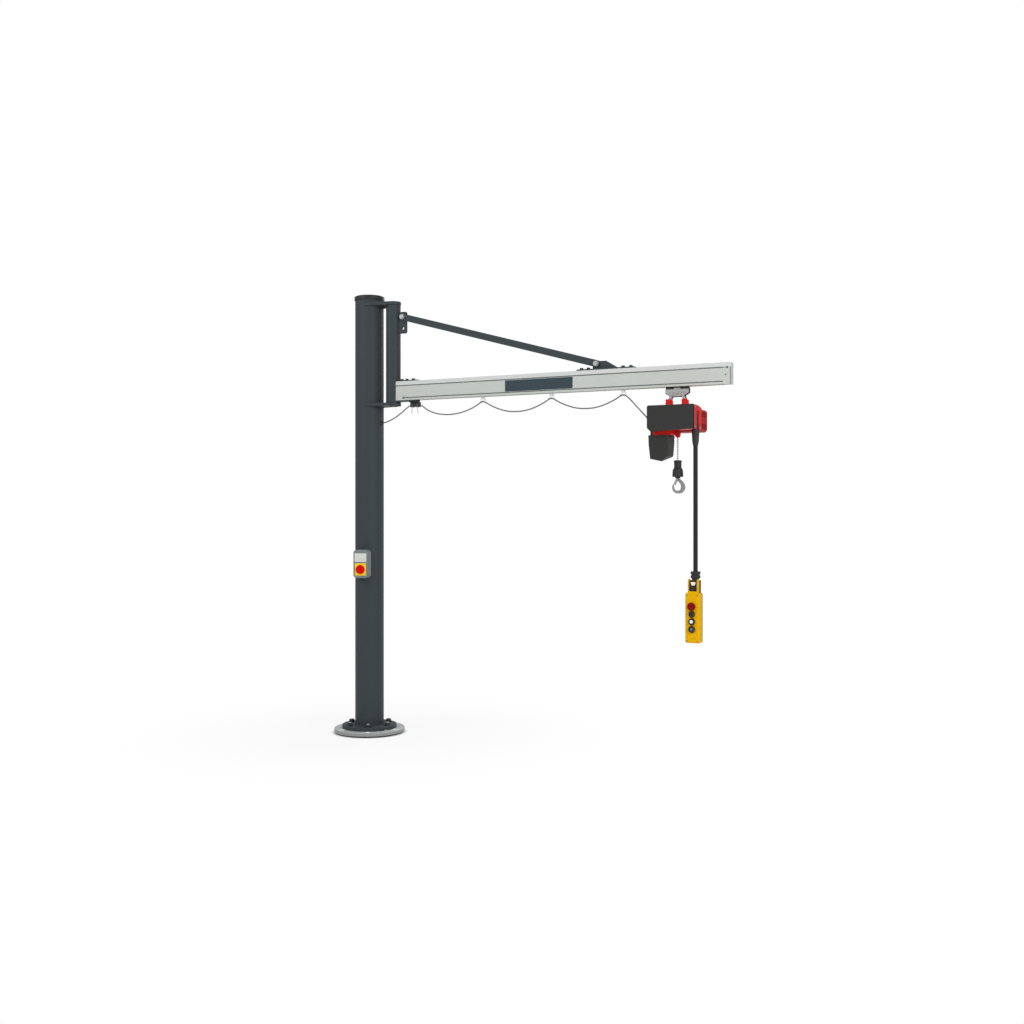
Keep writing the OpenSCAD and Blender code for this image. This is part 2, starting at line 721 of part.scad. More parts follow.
// Tube along a route that keeps near the X-Z plane: rings square to the path.
module cord_tube(route, d, rings, sides = 8) {
    n = rings - 1;
    span = len(route) - 1;
    centre = [for (i = [0 : n]) on_route(route, span * i / n)];
    way = [for (i = [0 : n])
        unit(i == 0 ? route[1] - route[0] : i == n ? route[span] - route[span - 1]
            : centre[i + 1] - centre[i - 1])];
    points = [for (i = [0 : n], k = [0 : sides - 1])
        let (side = unit([0, 1, 0] - way[i][1] * way[i]), up = cross(way[i], side), a = 360 * k / sides)
        centre[i] + d / 2 * (cos(a) * side + sin(a) * up)];
    walls = [for (i = [0 : n - 1], k = [0 : sides - 1])
        let (k2 = (k + 1) % sides)
        [i * sides + k, (i + 1) * sides + k, (i + 1) * sides + k2, i * sides + k2]];
    ends = [[for (k = [0 : sides - 1]) k], [for (k = [sides - 1 : -1 : 0]) n * sides + k]];
    polyhedron(points, concat(walls, ends), convexity = 6);
}

module supply_cable() { color("dimgray") cord_tube(SUPPLY_ROUTE, cable_d, 17); }
module festoon_1() { color("dimgray") cord_tube(FESTOON_1_ROUTE, cable_d, 20); }
module festoon_2() { color("dimgray") cord_tube(FESTOON_2_ROUTE, cable_d, 18); }
module festoon_3() { color("dimgray") cord_tube(FESTOON_3_ROUTE, cable_d, 18); }
module festoon_4() { color("dimgray") cord_tube(FESTOON_4_ROUTE, cable_d, 17); }

// Two saddle clamps on a rail under the root plate.
module cable_clamps() {
    rail_t = 6;
    rail_z = jib_z - clamp_plate_t - rail_t;
    half = 13;
    color("black") {
        block([clamp_x[0] - half - 4, -14, rail_z], [clamp_x[1] - half + 14, 14, rail_z + rail_t]);
        for (x = clamp_x) difference() {
            along_x(x - half, x + half)
                union() {
                    translate([0, clamp_cable_z]) circle(r = cable_d / 2 + 6);
                    translate([-9, clamp_cable_z]) square([18, rail_z - clamp_cable_z + eps]);
                }
            translate([x, 0, clamp_cable_z]) rotate([0, 90, 0])
                cylinder(r = cable_d / 2 + 2 * soft_gap, h = 4 * half, center = true);
        }
    }
}

// Slider in the track, a web through the slot and a tent-shaped saddle over the cable.
module glider(x) {
    slot_half = track_slot_w / 2 - slide_gap - 2;
    slider_z = jib_z + track_lip_t + slide_gap;
    saddle_half = 20;
    bend_r = 39;
    cable_top_r = bend_r + cable_d / 2 + 2 * soft_gap;
    color("whitesmoke")
    translate([x, 0, 0]) {
        block([-glider_l / 2, -track_half + slide_gap, slider_z],
            [glider_l / 2, track_half - slide_gap, slider_z + 9]);
        difference() {
            along_y(-slot_half, slot_half)
                polygon([[-5, slider_z + 1], [5, slider_z + 1], [8, jib_z - 2],
                    [saddle_half, glider_cable_z - 1], [saddle_half - 2, glider_cable_z - 9],
                    [2 - saddle_half, glider_cable_z - 9], [-saddle_half, glider_cable_z - 1],
                    [-8, jib_z - 2]]);
            translate([0, 0, glider_cable_z - bend_r]) cylinder_y(cable_top_r, -20, 20);
        }
    }
}

module glider_1() { glider(glider_x[0]); }
module glider_2() { glider(glider_x[1]); }
module glider_3() { glider(glider_x[2]); }

/* ---------- trolley ---------- */

wheel_gap = 0.3;
wheel_axle_z = jib_z + track_lip_t + wheel_d / 2 + wheel_gap;
axle_r = 4;
axle_dx = trolley_l / 2 - 20;
carriage_half = 6;
load_plate_top = jib_z - 12;
load_plate_low = load_plate_top - load_plate_h;
link_pin_r = 4;
link_top = [33, load_plate_low + 7];
link_low = [43, hoist_top_z + 22];

// Outline of a load plate, grown by a rim: upright sides, then slopes to a short lower edge.
module load_outline(rim) {
    half = trolley_l / 2 + rim;
    foot = 30 + rim / 2;
    polygon([[-half, load_plate_top], [-half, load_plate_low + 19 - rim], [-foot, load_plate_low - rim],
        [foot, load_plate_low - rim], [half, load_plate_low + 19 - rim], [half, load_plate_top]]);
}

// Carriage with a web in the slot, a shoulder below the track, and four wheels on two axles.
module trolley_body() {
    half = trolley_l / 2;
    shoulder_top = jib_z - 5;
    color("black")
    translate([trolley_x, 0, 0]) {
        difference() {
            union() {
                along_y(-carriage_half, carriage_half) load_outline(3);
                block([-half, -carriage_half, load_plate_top - 1],
                    [half, carriage_half, wheel_axle_z + 8]);
                for (side = [-1, 1]) block([side * 41.5 - 21, -12, load_plate_top + 1],
                    [side * 41.5 + 21, 12, shoulder_top]);
            }
            for (side = [-1, 1]) translate([side * link_top[0], 0, link_top[1]])
                cylinder_y(link_pin_r + fit, -20, 20);
        }
        for (dx = [-axle_dx, axle_dx]) translate([dx, 0, wheel_axle_z]) {
            cylinder_y(axle_r, -track_half + 1, track_half - 1);
            for (side = [-1, 1]) translate([0, side * 13, 0]) cylinder_y(wheel_d / 2, -4, 4);
        }
    }
}

// Two zinc plates with the heads of their bolts and a round shield over the middle.
module load_plates() {
    shield_r = 19;
    color("silver")
    for (side = [-1, 1]) translate([trolley_x, side * (carriage_half + load_plate_t / 2), 0]) {
        difference() {
            union() {
                along_y(-load_plate_t / 2, load_plate_t / 2) {
                    load_outline(0);
                    intersection() {
                        translate([0, load_plate_top - 5]) circle(r = shield_r);
                        translate([-shield_r, load_plate_top - 6]) square([2 * shield_r, 13]);
                    }
                }
            }
            for (dx = [-link_top[0], link_top[0]]) translate([dx, 0, link_top[1]])
                cylinder_y(link_pin_r + fit, -20, 20);
            for (dx = [-38, -22, 24, 38]) translate([dx, 0, load_plate_low + 19])
                cylinder_y(2.5, -20, 20);
        }
        translate([0, side * (load_plate_t / 2 + 3), load_plate_low + 20]) cube([14, 6, 14], center = true);
    }
}

// Straps from the trolley's pins down to the hoist's lugs.
module suspension_links() {
    drop = link_top[1] - link_low[1];
    lean = atan2(link_low[0] - link_top[0], drop);
    length = norm([link_low[0] - link_top[0], drop]);
    inner = carriage_half + load_plate_t + 0.5;
    strap_t = 4;
    strap_r = 7;
    color("silver")
    for (side = [-1, 1]) translate([trolley_x + side * link_top[0], 0, link_top[1]])
        rotate([0, -side * lean, 0]) {
            for (way = [-1, 1]) translate([0, way * (inner + strap_t / 2), 0]) difference() {
                along_y(-strap_t / 2, strap_t / 2) {
                    translate([-strap_r, -length]) square([2 * strap_r, length]);
                    for (z = [0, -length]) translate([0, z]) circle(r = strap_r);
                }
                for (z = [0, -length]) translate([0, 0, z]) cylinder_y(link_pin_r + fit, -20, 20);
            }
            for (z = [0, -length]) translate([0, 0, z]) {
                cylinder_y(link_pin_r, -inner - strap_t - 3, inner + strap_t + 3);
                for (way = [-1, 1]) translate([0, way * (inner + strap_t + 1.5), 0])
                    cylinder_y(6, -1.5, 1.5);
            }
        }
}

/* ---------- hoist ---------- */

hoist_x1 = trolley_x + hoist_out;
hoist_x0 = hoist_x1 - hoist_w;
hoist_low_z = hoist_top_z - hoist_h;
housing_inset = 5;
lid_h = 25;
lid_x0 = hoist_x0 + 17;
lid_x1 = trolley_x - 8;
lid_y = [-72, 3];
hose_x = hoist_x1 - 12;
hose_y = -56;
hose_slot_half = 19;
hose_slot_top = hoist_top_z - 33;
sleeve_top = hoist_low_z;
chain_way_r = 9;
lug_r = 16;
lug_half = carriage_half + load_plate_t;
cheek_y = lug_half + 8.3;
cheek_z0 = hoist_top_z - 22;
cheek_z1 = link_low[1] + lug_r - 1;
gland_y = -15;
gland_z = 1768;
gland_r = 10;

// Moulded housing with lugs on top, the container's lid and the chain guide below, and a slot for the hose.
module hoist_housing() {
    x0 = hoist_x0 + housing_inset;
    front_step = 35;
    color("red")
    difference() {
        union() {
            intersection() {
                along_x(x0, hoist_x1)
                    polygon([[-hoist_front, hoist_low_z], [-hoist_front, hoist_top_z - 3],
                        [-hoist_front + front_step, hoist_top_z], [hoist_back, hoist_top_z - 12],
                        [hoist_back, hoist_low_z]]);
                along_y(-hoist_front, hoist_back) rounded([x0, hoist_low_z], [hoist_x1, hoist_top_z], 9);
            }
            for (side = [-1, 1]) translate([trolley_x + side * link_low[0], 0, 0])
                along_y(-lug_half, min(lug_half, hoist_back)) {
                    translate([0, link_low[1]]) circle(r = lug_r);
                    translate([-lug_r, hoist_top_z - 20]) square([2 * lug_r, link_low[1] - hoist_top_z + 20]);
                }
            // cheeks in front of the straps
            translate([trolley_x, 0, 0]) along_y(-cheek_y - 4, -cheek_y) {
                polygon([[-link_low[0] - 16, cheek_z0], [-link_low[0] - 16, cheek_z1 - 3],
                    [-link_low[0] - 13, cheek_z1], [-link_low[0] + 15, cheek_z1],
                    [-link_low[0] + 15, cheek_z0]]);
                polygon([[link_low[0] - 15, cheek_z0], [link_low[0] - 15, cheek_z1],
                    [link_low[0] + 12, cheek_z1], [link_low[0] + 26, cheek_z0 + 14],
                    [link_low[0] + 26, cheek_z0]]);
            }
            along_y(lid_y[0], lid_y[1])
                rounded([lid_x0, hoist_low_z - lid_h], [lid_x1, hoist_low_z + 8], 8);
            translate([trolley_x, 0, 0]) along_y(-14, hoist_back)
                polygon([[-9, hoist_low_z + 1], [-9, hoist_low_z - 28], [-4, hoist_low_z - 36],
                    [11, hoist_low_z - 36], [14, hoist_low_z - 24], [14, hoist_low_z + 1]]);
        }
        translate([trolley_x, 0, hoist_low_z - 60]) cylinder(r = chain_way_r, h = 130);
        for (side = [-1, 1]) translate([trolley_x + side * link_low[0], 0, link_low[1]])
            cylinder_y(link_pin_r + fit, -20, 20);
        // slot of the control hose in the outer side
        block([hose_x - hose_slot_half, hose_y - hose_slot_half, hoist_low_z - 1],
            [hoist_x1 + 1, hose_y + hose_slot_half, hose_slot_top]);
        // socket of the festoon cable's gland
        translate([x0 - 1, gland_y, gland_z]) rotate([0, 90, 0]) cylinder(r = gland_r - 3 + fit, h = 12);
        // shallow line that parts the front shell from the rear one
        block([hoist_x1 - 1.5, -hoist_front + front_step, hoist_low_z - 1],
            [hoist_x1 + 1, -hoist_front + front_step + 2, hoist_top_z + 1]);
    }
}

// Front cover with a sloping lower edge, a clipped lower corner and a stepped rim.
module hoist_cover() {
    low = hoist_low_z - 10;
    low_right = hoist_low_z + 1;
    rim = 3;
    clip = 22;
    color("black")
    difference() {
        union() {
            along_y(-hoist_front - cover_t + rim, -hoist_front)
                rounded([hoist_x0, low], [hoist_x1, hoist_top_z], 8);
            along_y(-hoist_front - cover_t, -hoist_front - cover_t + rim + eps)
                rounded([hoist_x0 + rim, low + rim], [hoist_x1 - rim, hoist_top_z - rim], 6);
        }
        along_y(-hoist_front - cover_t - 1, -hoist_front + 1) {
            polygon([[hoist_x0 - 1, low + clip], [hoist_x0 + clip, low - 1], [hoist_x0 - 1, low - 1]]);
            polygon([[hoist_x0 + clip, low], [hoist_x1 + 1, low_right], [hoist_x1 + 1, low - 1],
                [hoist_x0 + clip, low - 1]]);
        }
    }
}

// Cover of the motor: round corners, a stepped back and cooling slots in both sides.
module motor_cover() {
    x0 = hoist_x0 + 10;
    x1 = hoist_x1 - 5;
    z0 = hoist_low_z - 7;
    z1 = hoist_top_z - 15;
    corner = 18;
    step = 10;
    slot_h = 4;
    color("darkred")
    difference() {
        union() {
            along_y(hoist_back, motor_back - step) rounded([x0, z0], [x1, z1], corner);
            along_y(motor_back - step - eps, motor_back)
                rounded([x0 + step / 2, z0 + step / 2], [x1 - step / 2, z1 - step / 2], corner - 4);
        }
        for (x = [x0, x1], dz = [-40, -31, -22, 22, 31, 40])
            block([x - 4, hoist_back + 14, (z0 + z1) / 2 + dz - slot_h / 2],
                [x + 4, motor_back - 22, (z0 + z1) / 2 + dz + slot_h / 2]);
        for (dx = [30 : 16 : x1 - x0 - 30])
            block([x0 + dx, hoist_back + 20, z1 - 4], [x0 + dx + 5, motor_back - 22, z1 + 4]);
        translate([trolley_x, 0, z0 - 1]) cylinder(r = chain_way_r, h = z1);
        translate([0, 0, z1 - 1]) block([x0 - 1, 0, 0], [x1 + 1, hoist_back - eps, 10]);
    }
}

// Chain container: tapered in both views, with a rim round its mouth.
module chain_container() {
    top = hoist_low_z - lid_h;
    x0 = hoist_x0 - 10;
    x1 = trolley_x - 25;
    y0 = -76;
    y1 = 30;
    color("black")
    difference() {
        union() {
            intersection() {
                along_y(y0, y1)
                    polygon([[x0, top], [x1, top], [x1 - 7, top - 109], [x1 - 42, top - 135],
                        [x0 + 10, top - 122], [x0 + 3, top - 40]]);
                along_x(x0 - 1, x1 + 1)
                    polygon([[y0, top], [y1, top], [y1 - 8, top - 104], [y1 - 20, top - 113],
                        [y0 + 18, top - 136], [y0 + 8, top - 124]]);
                translate([0, 0, top - 140]) linear_extrude(141) rounded([x0, y0], [x1, y1], 12);
            }
            translate([0, 0, top - 9]) linear_extrude(9) rounded([x0 - 1, y0 - 1], [x1 + 1, y1 + 1], 12);
            // neck that hangs the container on the housing
            block([hoist_x0 + 2, lid_y[0] + 2, top - eps], [lid_x0, lid_y[1], hoist_low_z]);
        }
        block([lid_x0, lid_y[0] - 1, top], [lid_x1, lid_y[1] + 1, hoist_low_z]);
    }
}

// Sleeve that guards the hose where it leaves the housing, and the gland of the festoon cable.
module hoist_glands() {
    low_z = sleeve_top - 82;
    top_r = hose_slot_half + 0.7;
    bore_r = hose_d / 2 + soft_gap;
    bore_top = sleeve_top + 5;
    color("black") {
        translate([hose_x, hose_y, 0]) rotate_extrude()
            polygon([[bore_r, low_z], [bore_r + 1.7, low_z], [top_r - 2.5, low_z + 24],
                [top_r, sleeve_top - 4], [top_r - 1, sleeve_top - 1], [top_r - 1, sleeve_top + 4],
                [hose_slot_half - 9, hose_slot_top], [0, hose_slot_top], [0, bore_top],
                [bore_r, bore_top]]);
        translate([hoist_x0 + housing_inset, gland_y, gland_z]) rotate([0, 90, 0]) difference() {
            union() {
                translate([0, 0, -10]) cylinder(r1 = gland_r - 3, r2 = gland_r, h = 10);
                cylinder(r = gland_r - 3, h = 8);
            }
            translate([0, 0, -11]) cylinder(r = cable_d / 2 + 2 * soft_gap, h = 16);
        }
    }
}

/* ---------- pendant ---------- */

pendant_shift = -5.5;
pendant_set = -8;
pendant_y0 = pendant_set - pendant_depth / 2;
pendant_y1 = pendant_set + pendant_depth / 2;
pendant_top = pendant_z + pendant_h;
ear_top = pendant_top + 70;
ear_t = 5;
ear_half = 27;
ear_set = 11;
hood_h = 8;
gland_top = ear_top + 39;
panel_t = 1.5;
panel_half = 24;
press = 4;
stem_r = 11;
// Route of the control hose from the hoist's sleeve to the pendant's gland
HOSE_ROUTE = [[2026, -56, 1722], [2026, -56, 1690], [2026, -56, 1650], [2026, -56, 1600],
    [2026, -56, 1550], [2026, -56, 1500], [2026, -56, 1450], [2026, -56, 1400],
    [2026, -56, 1350], [2026, -56, 1300], [2026, -56, 1250], [2026, -56, 1200],
    [2026, -56, 1150], [2026, -56, 1100], [2026, -56, 1040], [2026, -56, 980]];

// Places a piece on the pendant: its own X across, its own Y from front to back.
module on_pendant() {
    translate([hose_x, hose_y, 0]) rotate([0, 0, pendant_turn]) translate([pendant_shift, 0, 0]) children();
}

module control_hose() { color("black") cord_tube(HOSE_ROUTE, hose_d, 14, 12); }

// Ribbed gland on the hose, and the black insert that carries it between the ears.
module pendant_gland() {
    neck_r = 18;
    rib_r = 25;
    waist_r = rib_r - 4;
    bore_r = hose_d / 2 + soft_gap;
    hose_end = HOSE_ROUTE[len(HOSE_ROUTE) - 1][2] - 1;
    color("black") {
        translate([hose_x, hose_y, 0]) rotate_extrude()
            polygon([[0, ear_top - 24], [neck_r - 4, ear_top - 24], [neck_r, ear_top],
                [rib_r, ear_top + 8], [rib_r, ear_top + 18], [waist_r, ear_top + 18],
                [waist_r, ear_top + 25], [rib_r, ear_top + 25], [rib_r, gland_top],
                [bore_r, gland_top], [bore_r, hose_end], [0, hose_end]]);
        on_pendant() difference() {
            union() {
                block([-ear_half, pendant_set + 4, pendant_top], [ear_half, pendant_y1, ear_top - 6]);
                block([ear_t - ear_half, pendant_y0 + ear_set + 8, pendant_top + hood_h],
                    [ear_half - ear_t, pendant_set + 5, ear_top - 16]);
            }
            translate([-pendant_shift, 0, ear_top - 12]) cylinder(r = neck_r + soft_gap, h = 30);
        }
    }
}

estop_up = 186;
button_up = [147, 109, 70];
estop_z = pendant_z + estop_up;
button_z = [for (up = button_up) pendant_z + up];

// Case with a raised panel, and two ears that guard the gland.
module pendant_body() {
    half = pendant_w / 2;
    color("gold")
    on_pendant() difference() {
        union() {
            translate([0, 0, pendant_z + 4]) linear_extrude(pendant_h - 8)
                rounded([-half, pendant_y0], [half, pendant_y1], 5);
            for (z = [pendant_z, pendant_top - 4 - eps]) translate([0, 0, z]) linear_extrude(4 + eps)
                rounded([3 - half, pendant_y0 + 3], [half - 3, pendant_y1 - 3], 4);
            along_y(pendant_y0 - panel_t, pendant_y0 + 1)
                rounded([-panel_half, pendant_z + 24], [panel_half, estop_z + 28], 4);
            for (side = [-1, 1]) translate([side * (ear_half - ear_t / 2), 0, 0])
                along_x(-ear_t / 2, ear_t / 2)
                    polygon([[pendant_y0 + ear_set, pendant_top - 1], [pendant_y0 + ear_set, ear_top - 6],
                        [pendant_y0 + ear_set + 6, ear_top], [pendant_set + 2, ear_top],
                        [pendant_set + 4, ear_top - 4], [pendant_set + 4, pendant_top - 1]]);
            // sloping hood between the case and the ears
            along_x(-ear_half, ear_half)
                polygon([[pendant_y0 + 3, pendant_top - 1], [pendant_y0 + ear_set, pendant_top + hood_h],
                    [pendant_set + 4, pendant_top + hood_h], [pendant_set + 4, pendant_top - 1]]);
        }
        for (z = concat([estop_z], button_z))
            translate([0, 0, z]) cylinder_y(stem_r + slide_gap, pendant_y0 - 5, pendant_y0 + 14);
        for (x = [9.5 - half, half - 9.5], z = [pendant_z + 10, pendant_top - 12])
            translate([x, 0, z]) cylinder_y(3.5, pendant_y0 - 1, pendant_y0 + 3);
    }
}

// Cap and stem of a push button, with the gap that its stroke needs under the cap.
module push_button(z, d, cap_h, crown) {
    face = pendant_y0 - panel_t - press - slide_gap;
    on_pendant() translate([0, 0, z]) {
        cylinder_y(stem_r, face, pendant_y0 + 14 - press - slide_gap);
        cylinder_y(d / 2, face - cap_h, face + eps);
        if (crown > 0) cylinder_y(d / 2 - 3, face - cap_h - crown, face - cap_h + eps);
    }
}

module estop_button() { color("firebrick") push_button(estop_z, estop_d, 9, 3); }
module button_black() { color("black") push_button(button_z[0], button_d - 2, 4, 0); }
module button_white() { color("white") push_button(button_z[1], button_d, 4, 0); }
module button_blue() { color("slateblue") push_button(button_z[2], button_d, 4, 0); }

/* ---------- chain and hook ---------- */

hook_drop = 154;
boot_top_z = hoist_low_z - hook_drop;
boot_low_z = boot_top_z - boot_h;
collar_h = 7;
collar_r = 14;
link_gap = 0.3;
bowl_z = boot_low_z - collar_h - 46.5;
shank_r = hook_d / 2 + 0.25;
shank_low = 40;
latch_pin_r = 1.5;
latch_at = [-3.5, 42];
// Middle line of the hook from the shank to the nose: X and Z from the middle of the bowl,
// then half the width in that plane and half the thickness
HOOK_FORM = [[0, 44, 6.5, 6.5], [3.5, 39, 7.5, 7], [11, 33, 8.5, 7.5], [20.5, 23, 9.5, 8],
    [27, 12, 11, 8], [29, 0, 12, 8], [26, -12, 11.5, 8], [16, -22, 9.5, 8], [1, -25, 7.5, 7.5],
    [-13, -22, 7, 7], [-22, -13, 6.5, 6.5], [-25, -1, 5.5, 6], [-25, 8, 4.5, 5], [-25, 13, 2.5, 3]];

// One chain link that stands upright in the X-Z plane, centred on its own middle.
module chain_link() {
    bend_r = chain_d / 2 + 1.9;
    half = (chain_pitch + chain_d + link_gap) / 2 - bend_r;
    for (side = [-1, 1])
        translate([side * bend_r, 0, -half - eps]) cylinder(d = chain_d, h = 2 * (half + eps), $fn = 16);
    for (end = [0, 1]) mirror([0, 0, end]) translate([0, 0, half]) rotate([90, 0, 0])
        rotate_extrude(angle = 180, $fn = 32) translate([bend_r, 0]) circle(d = chain_d, $fn = 16);
}

module load_chain() {
    first = boot_top_z + chain_pitch / 2;
    color("silver")
    for (i = [0 : chain_links - 1])
        translate([trolley_x, 0, first + i * chain_pitch]) rotate([0, 0, (i % 2) * 90]) chain_link();
}

// Boot over the hook's bearing, with a pocket for the last link and the collar of the hook's nut.
module hook_boot() {
    r = boot_top_d / 2;
    foot_r = boot_d / 2;
    pocket_r = chain_d + 4;
    pocket_z = boot_top_z - chain_d - link_gap / 2 - soft_gap;
    color("black")
    translate([trolley_x, 0, 0]) rotate_extrude()
        polygon([[pocket_r, pocket_z], [pocket_r + 1, boot_top_z], [r - 3, boot_top_z],
            [r, boot_top_z - 4], [r, boot_top_z - 10], [r - 1.5, boot_top_z - 12],
            [r - 1.5, boot_top_z - 0.45 * boot_h], [foot_r - 2.5, boot_top_z - 0.56 * boot_h],
            [foot_r, boot_low_z + 5], [foot_r - 2, boot_low_z], [collar_r, boot_low_z],
            [collar_r - 1, boot_low_z - collar_h],
            [shank_r + fit, boot_low_z - collar_h], [shank_r + fit, boot_low_z + 16 + fit],
            [0, boot_low_z + 16 + fit], [0, pocket_z]]);
}

// Forged hook: a swept body that is thickest at its back, under a round shank for the boot.
module hook() {
    sides = 16;
    n = 3 * (len(HOOK_FORM) - 1);
    rows = [for (i = [0 : n]) on_route(HOOK_FORM, i / 3)];
    k = hook_bowl_d / 33;
    m = hook_d / 15;
    centre = [for (r = rows) [k * r[0], 0, k * r[1]]];
    way = [for (i = [0 : n]) unit(centre[min(i + 1, n)] - centre[max(i - 1, 0)])];
    points = [for (i = [0 : n], j = [0 : sides - 1])
        let (side = [way[i][2], 0, -way[i][0]], a = 360 * j / sides)
        centre[i] + m * rows[i][2] * cos(a) * side + m * rows[i][3] * sin(a) * [0, 1, 0]];
    walls = [for (i = [0 : n - 1], j = [0 : sides - 1])
        let (j2 = (j + 1) % sides)
        [i * sides + j, (i + 1) * sides + j, (i + 1) * sides + j2, i * sides + j2]];
    ends = [[for (j = [0 : sides - 1]) j], [for (j = [sides - 1 : -1 : 0]) n * sides + j]];
    color("silver")
    translate([trolley_x, 0, bowl_z]) difference() {
        union() {
            translate([0, 0, shank_low]) cylinder(r = shank_r, h = boot_low_z + 16 - bowl_z - shank_low);
            translate([0, 0, shank_low]) sphere(r = shank_r - 0.3);
            polyhedron(points, concat(walls, ends), convexity = 6);
        }
        translate([latch_at[0], 0, latch_at[1]]) cylinder_y(latch_pin_r + fit, -20, 20);
    }
}

// Sheet latch: a pin through the shank, a cheek on each side and a tongue inside the nose.
module hook_latch() {
    lean = 27;
    reach = 33;
    cheek_t = 1.5;
    inner = shank_r + 0.3;
    color("dimgray")
    translate([trolley_x + latch_at[0], 0, bowl_z + latch_at[1]]) rotate([0, lean, 0]) {
        cylinder_y(latch_pin_r, -inner - cheek_t, inner + cheek_t);
        for (side = [-1, 1]) translate([0, side * (inner + cheek_t / 2), 0])
            along_y(-cheek_t / 2, cheek_t / 2) {
                circle(r = 4.5);
                translate([-4, -reach]) square([8, reach]);
            }
        block([-1, -inner - cheek_t, -reach], [1, inner + cheek_t, 5 - reach]);
    }
}

anchor_plate();
base_flange();
flange_bolts();
column_tube();
column_cap();
bearing_arms();
cable_outlet();
switch_housing();
switch_label_field();
switch_escutcheon();
switch_knob();
pivot_tube();
root_clamp_plates();
clamp_bolts();
jib_profile();
jib_end_cap();
track_stops();
name_plate();
tie_bracket();
tie_rod();
tie_lug();
tie_bolts();
cable_clamps();
supply_cable();
festoon_1();
festoon_2();
festoon_3();
festoon_4();
glider_1();
glider_2();
glider_3();
trolley_body();
load_plates();
suspension_links();
hoist_housing();
hoist_cover();
motor_cover();
chain_container();
hoist_glands();
control_hose();
pendant_gland();
pendant_body();
estop_button();
button_black();
button_white();
button_blue();
load_chain();
hook_boot();
hook();
hook_latch();
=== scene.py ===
# %% [markdown]
# # A column-mounted jib crane
# The crane is a steel tube on a round foot. A jib of extruded aluminium swings on it, held up by
# a tie rod. A trolley with a small electric chain hoist rolls inside the jib, and the operator
# works it from a yellow pendant. The rigid pieces come with the frame. This lesson makes the
# cables, the welds and the small fittings as surfaces worked out with numpy, and then gives every
# piece its finish.

# %% Load the frame
import json
import math

import bpy
import numpy as np
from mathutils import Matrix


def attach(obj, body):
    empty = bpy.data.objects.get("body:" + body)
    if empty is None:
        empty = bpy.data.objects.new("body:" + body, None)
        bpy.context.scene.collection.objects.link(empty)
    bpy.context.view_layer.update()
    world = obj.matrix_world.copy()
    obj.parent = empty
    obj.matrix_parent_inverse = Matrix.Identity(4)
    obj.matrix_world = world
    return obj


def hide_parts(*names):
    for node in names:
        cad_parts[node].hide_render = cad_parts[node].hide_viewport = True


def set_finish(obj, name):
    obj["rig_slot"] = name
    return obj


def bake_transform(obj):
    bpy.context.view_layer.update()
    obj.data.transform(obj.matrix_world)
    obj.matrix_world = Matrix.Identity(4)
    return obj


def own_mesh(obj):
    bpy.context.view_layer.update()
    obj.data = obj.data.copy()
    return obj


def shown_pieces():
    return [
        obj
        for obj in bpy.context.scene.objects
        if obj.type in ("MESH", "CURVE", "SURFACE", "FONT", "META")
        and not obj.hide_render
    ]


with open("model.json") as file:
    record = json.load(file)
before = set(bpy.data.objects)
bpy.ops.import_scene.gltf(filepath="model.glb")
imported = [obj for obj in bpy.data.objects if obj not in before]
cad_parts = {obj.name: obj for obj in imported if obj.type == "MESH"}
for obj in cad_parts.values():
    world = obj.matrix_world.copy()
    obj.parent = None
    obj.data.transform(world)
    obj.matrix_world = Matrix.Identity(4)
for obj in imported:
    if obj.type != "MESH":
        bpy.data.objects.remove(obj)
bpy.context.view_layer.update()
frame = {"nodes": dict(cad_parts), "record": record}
MM = 0.001

# %% [markdown]
# ## The camera
# The crane is looked at from about chest height, some seven metres from the column and a little
# past the jib's free end. The camera is level, so the column stays upright.

# %% Place the camera
CAMERA_AT = (3.924, -5.843, 1.300)
CAMERA_TURN = math.radians(27)
camera_data = bpy.data.cameras.new("view_camera")
camera_data.lens = 41.48
camera_data.sensor_width = 36.0
camera_data.clip_end = 100.0
camera = bpy.data.objects.new("view_camera", camera_data)
camera.location = CAMERA_AT
camera.rotation_euler = (math.radians(90), 0.0, CAMERA_TURN)
bpy.context.scene.collection.objects.link(camera)
bpy.context.scene.camera = camera
print("camera at", CAMERA_AT)

# %% [markdown]
# ## Surfaces from arrays
# Nearly every small piece here is a grid of points: rows along its length, and columns round it.
# One helper turns such a grid into a mesh, closes it at the seam and the ends, and turns its faces
# outwards. It works out all faces as arrays, so a piece of any size takes one call.


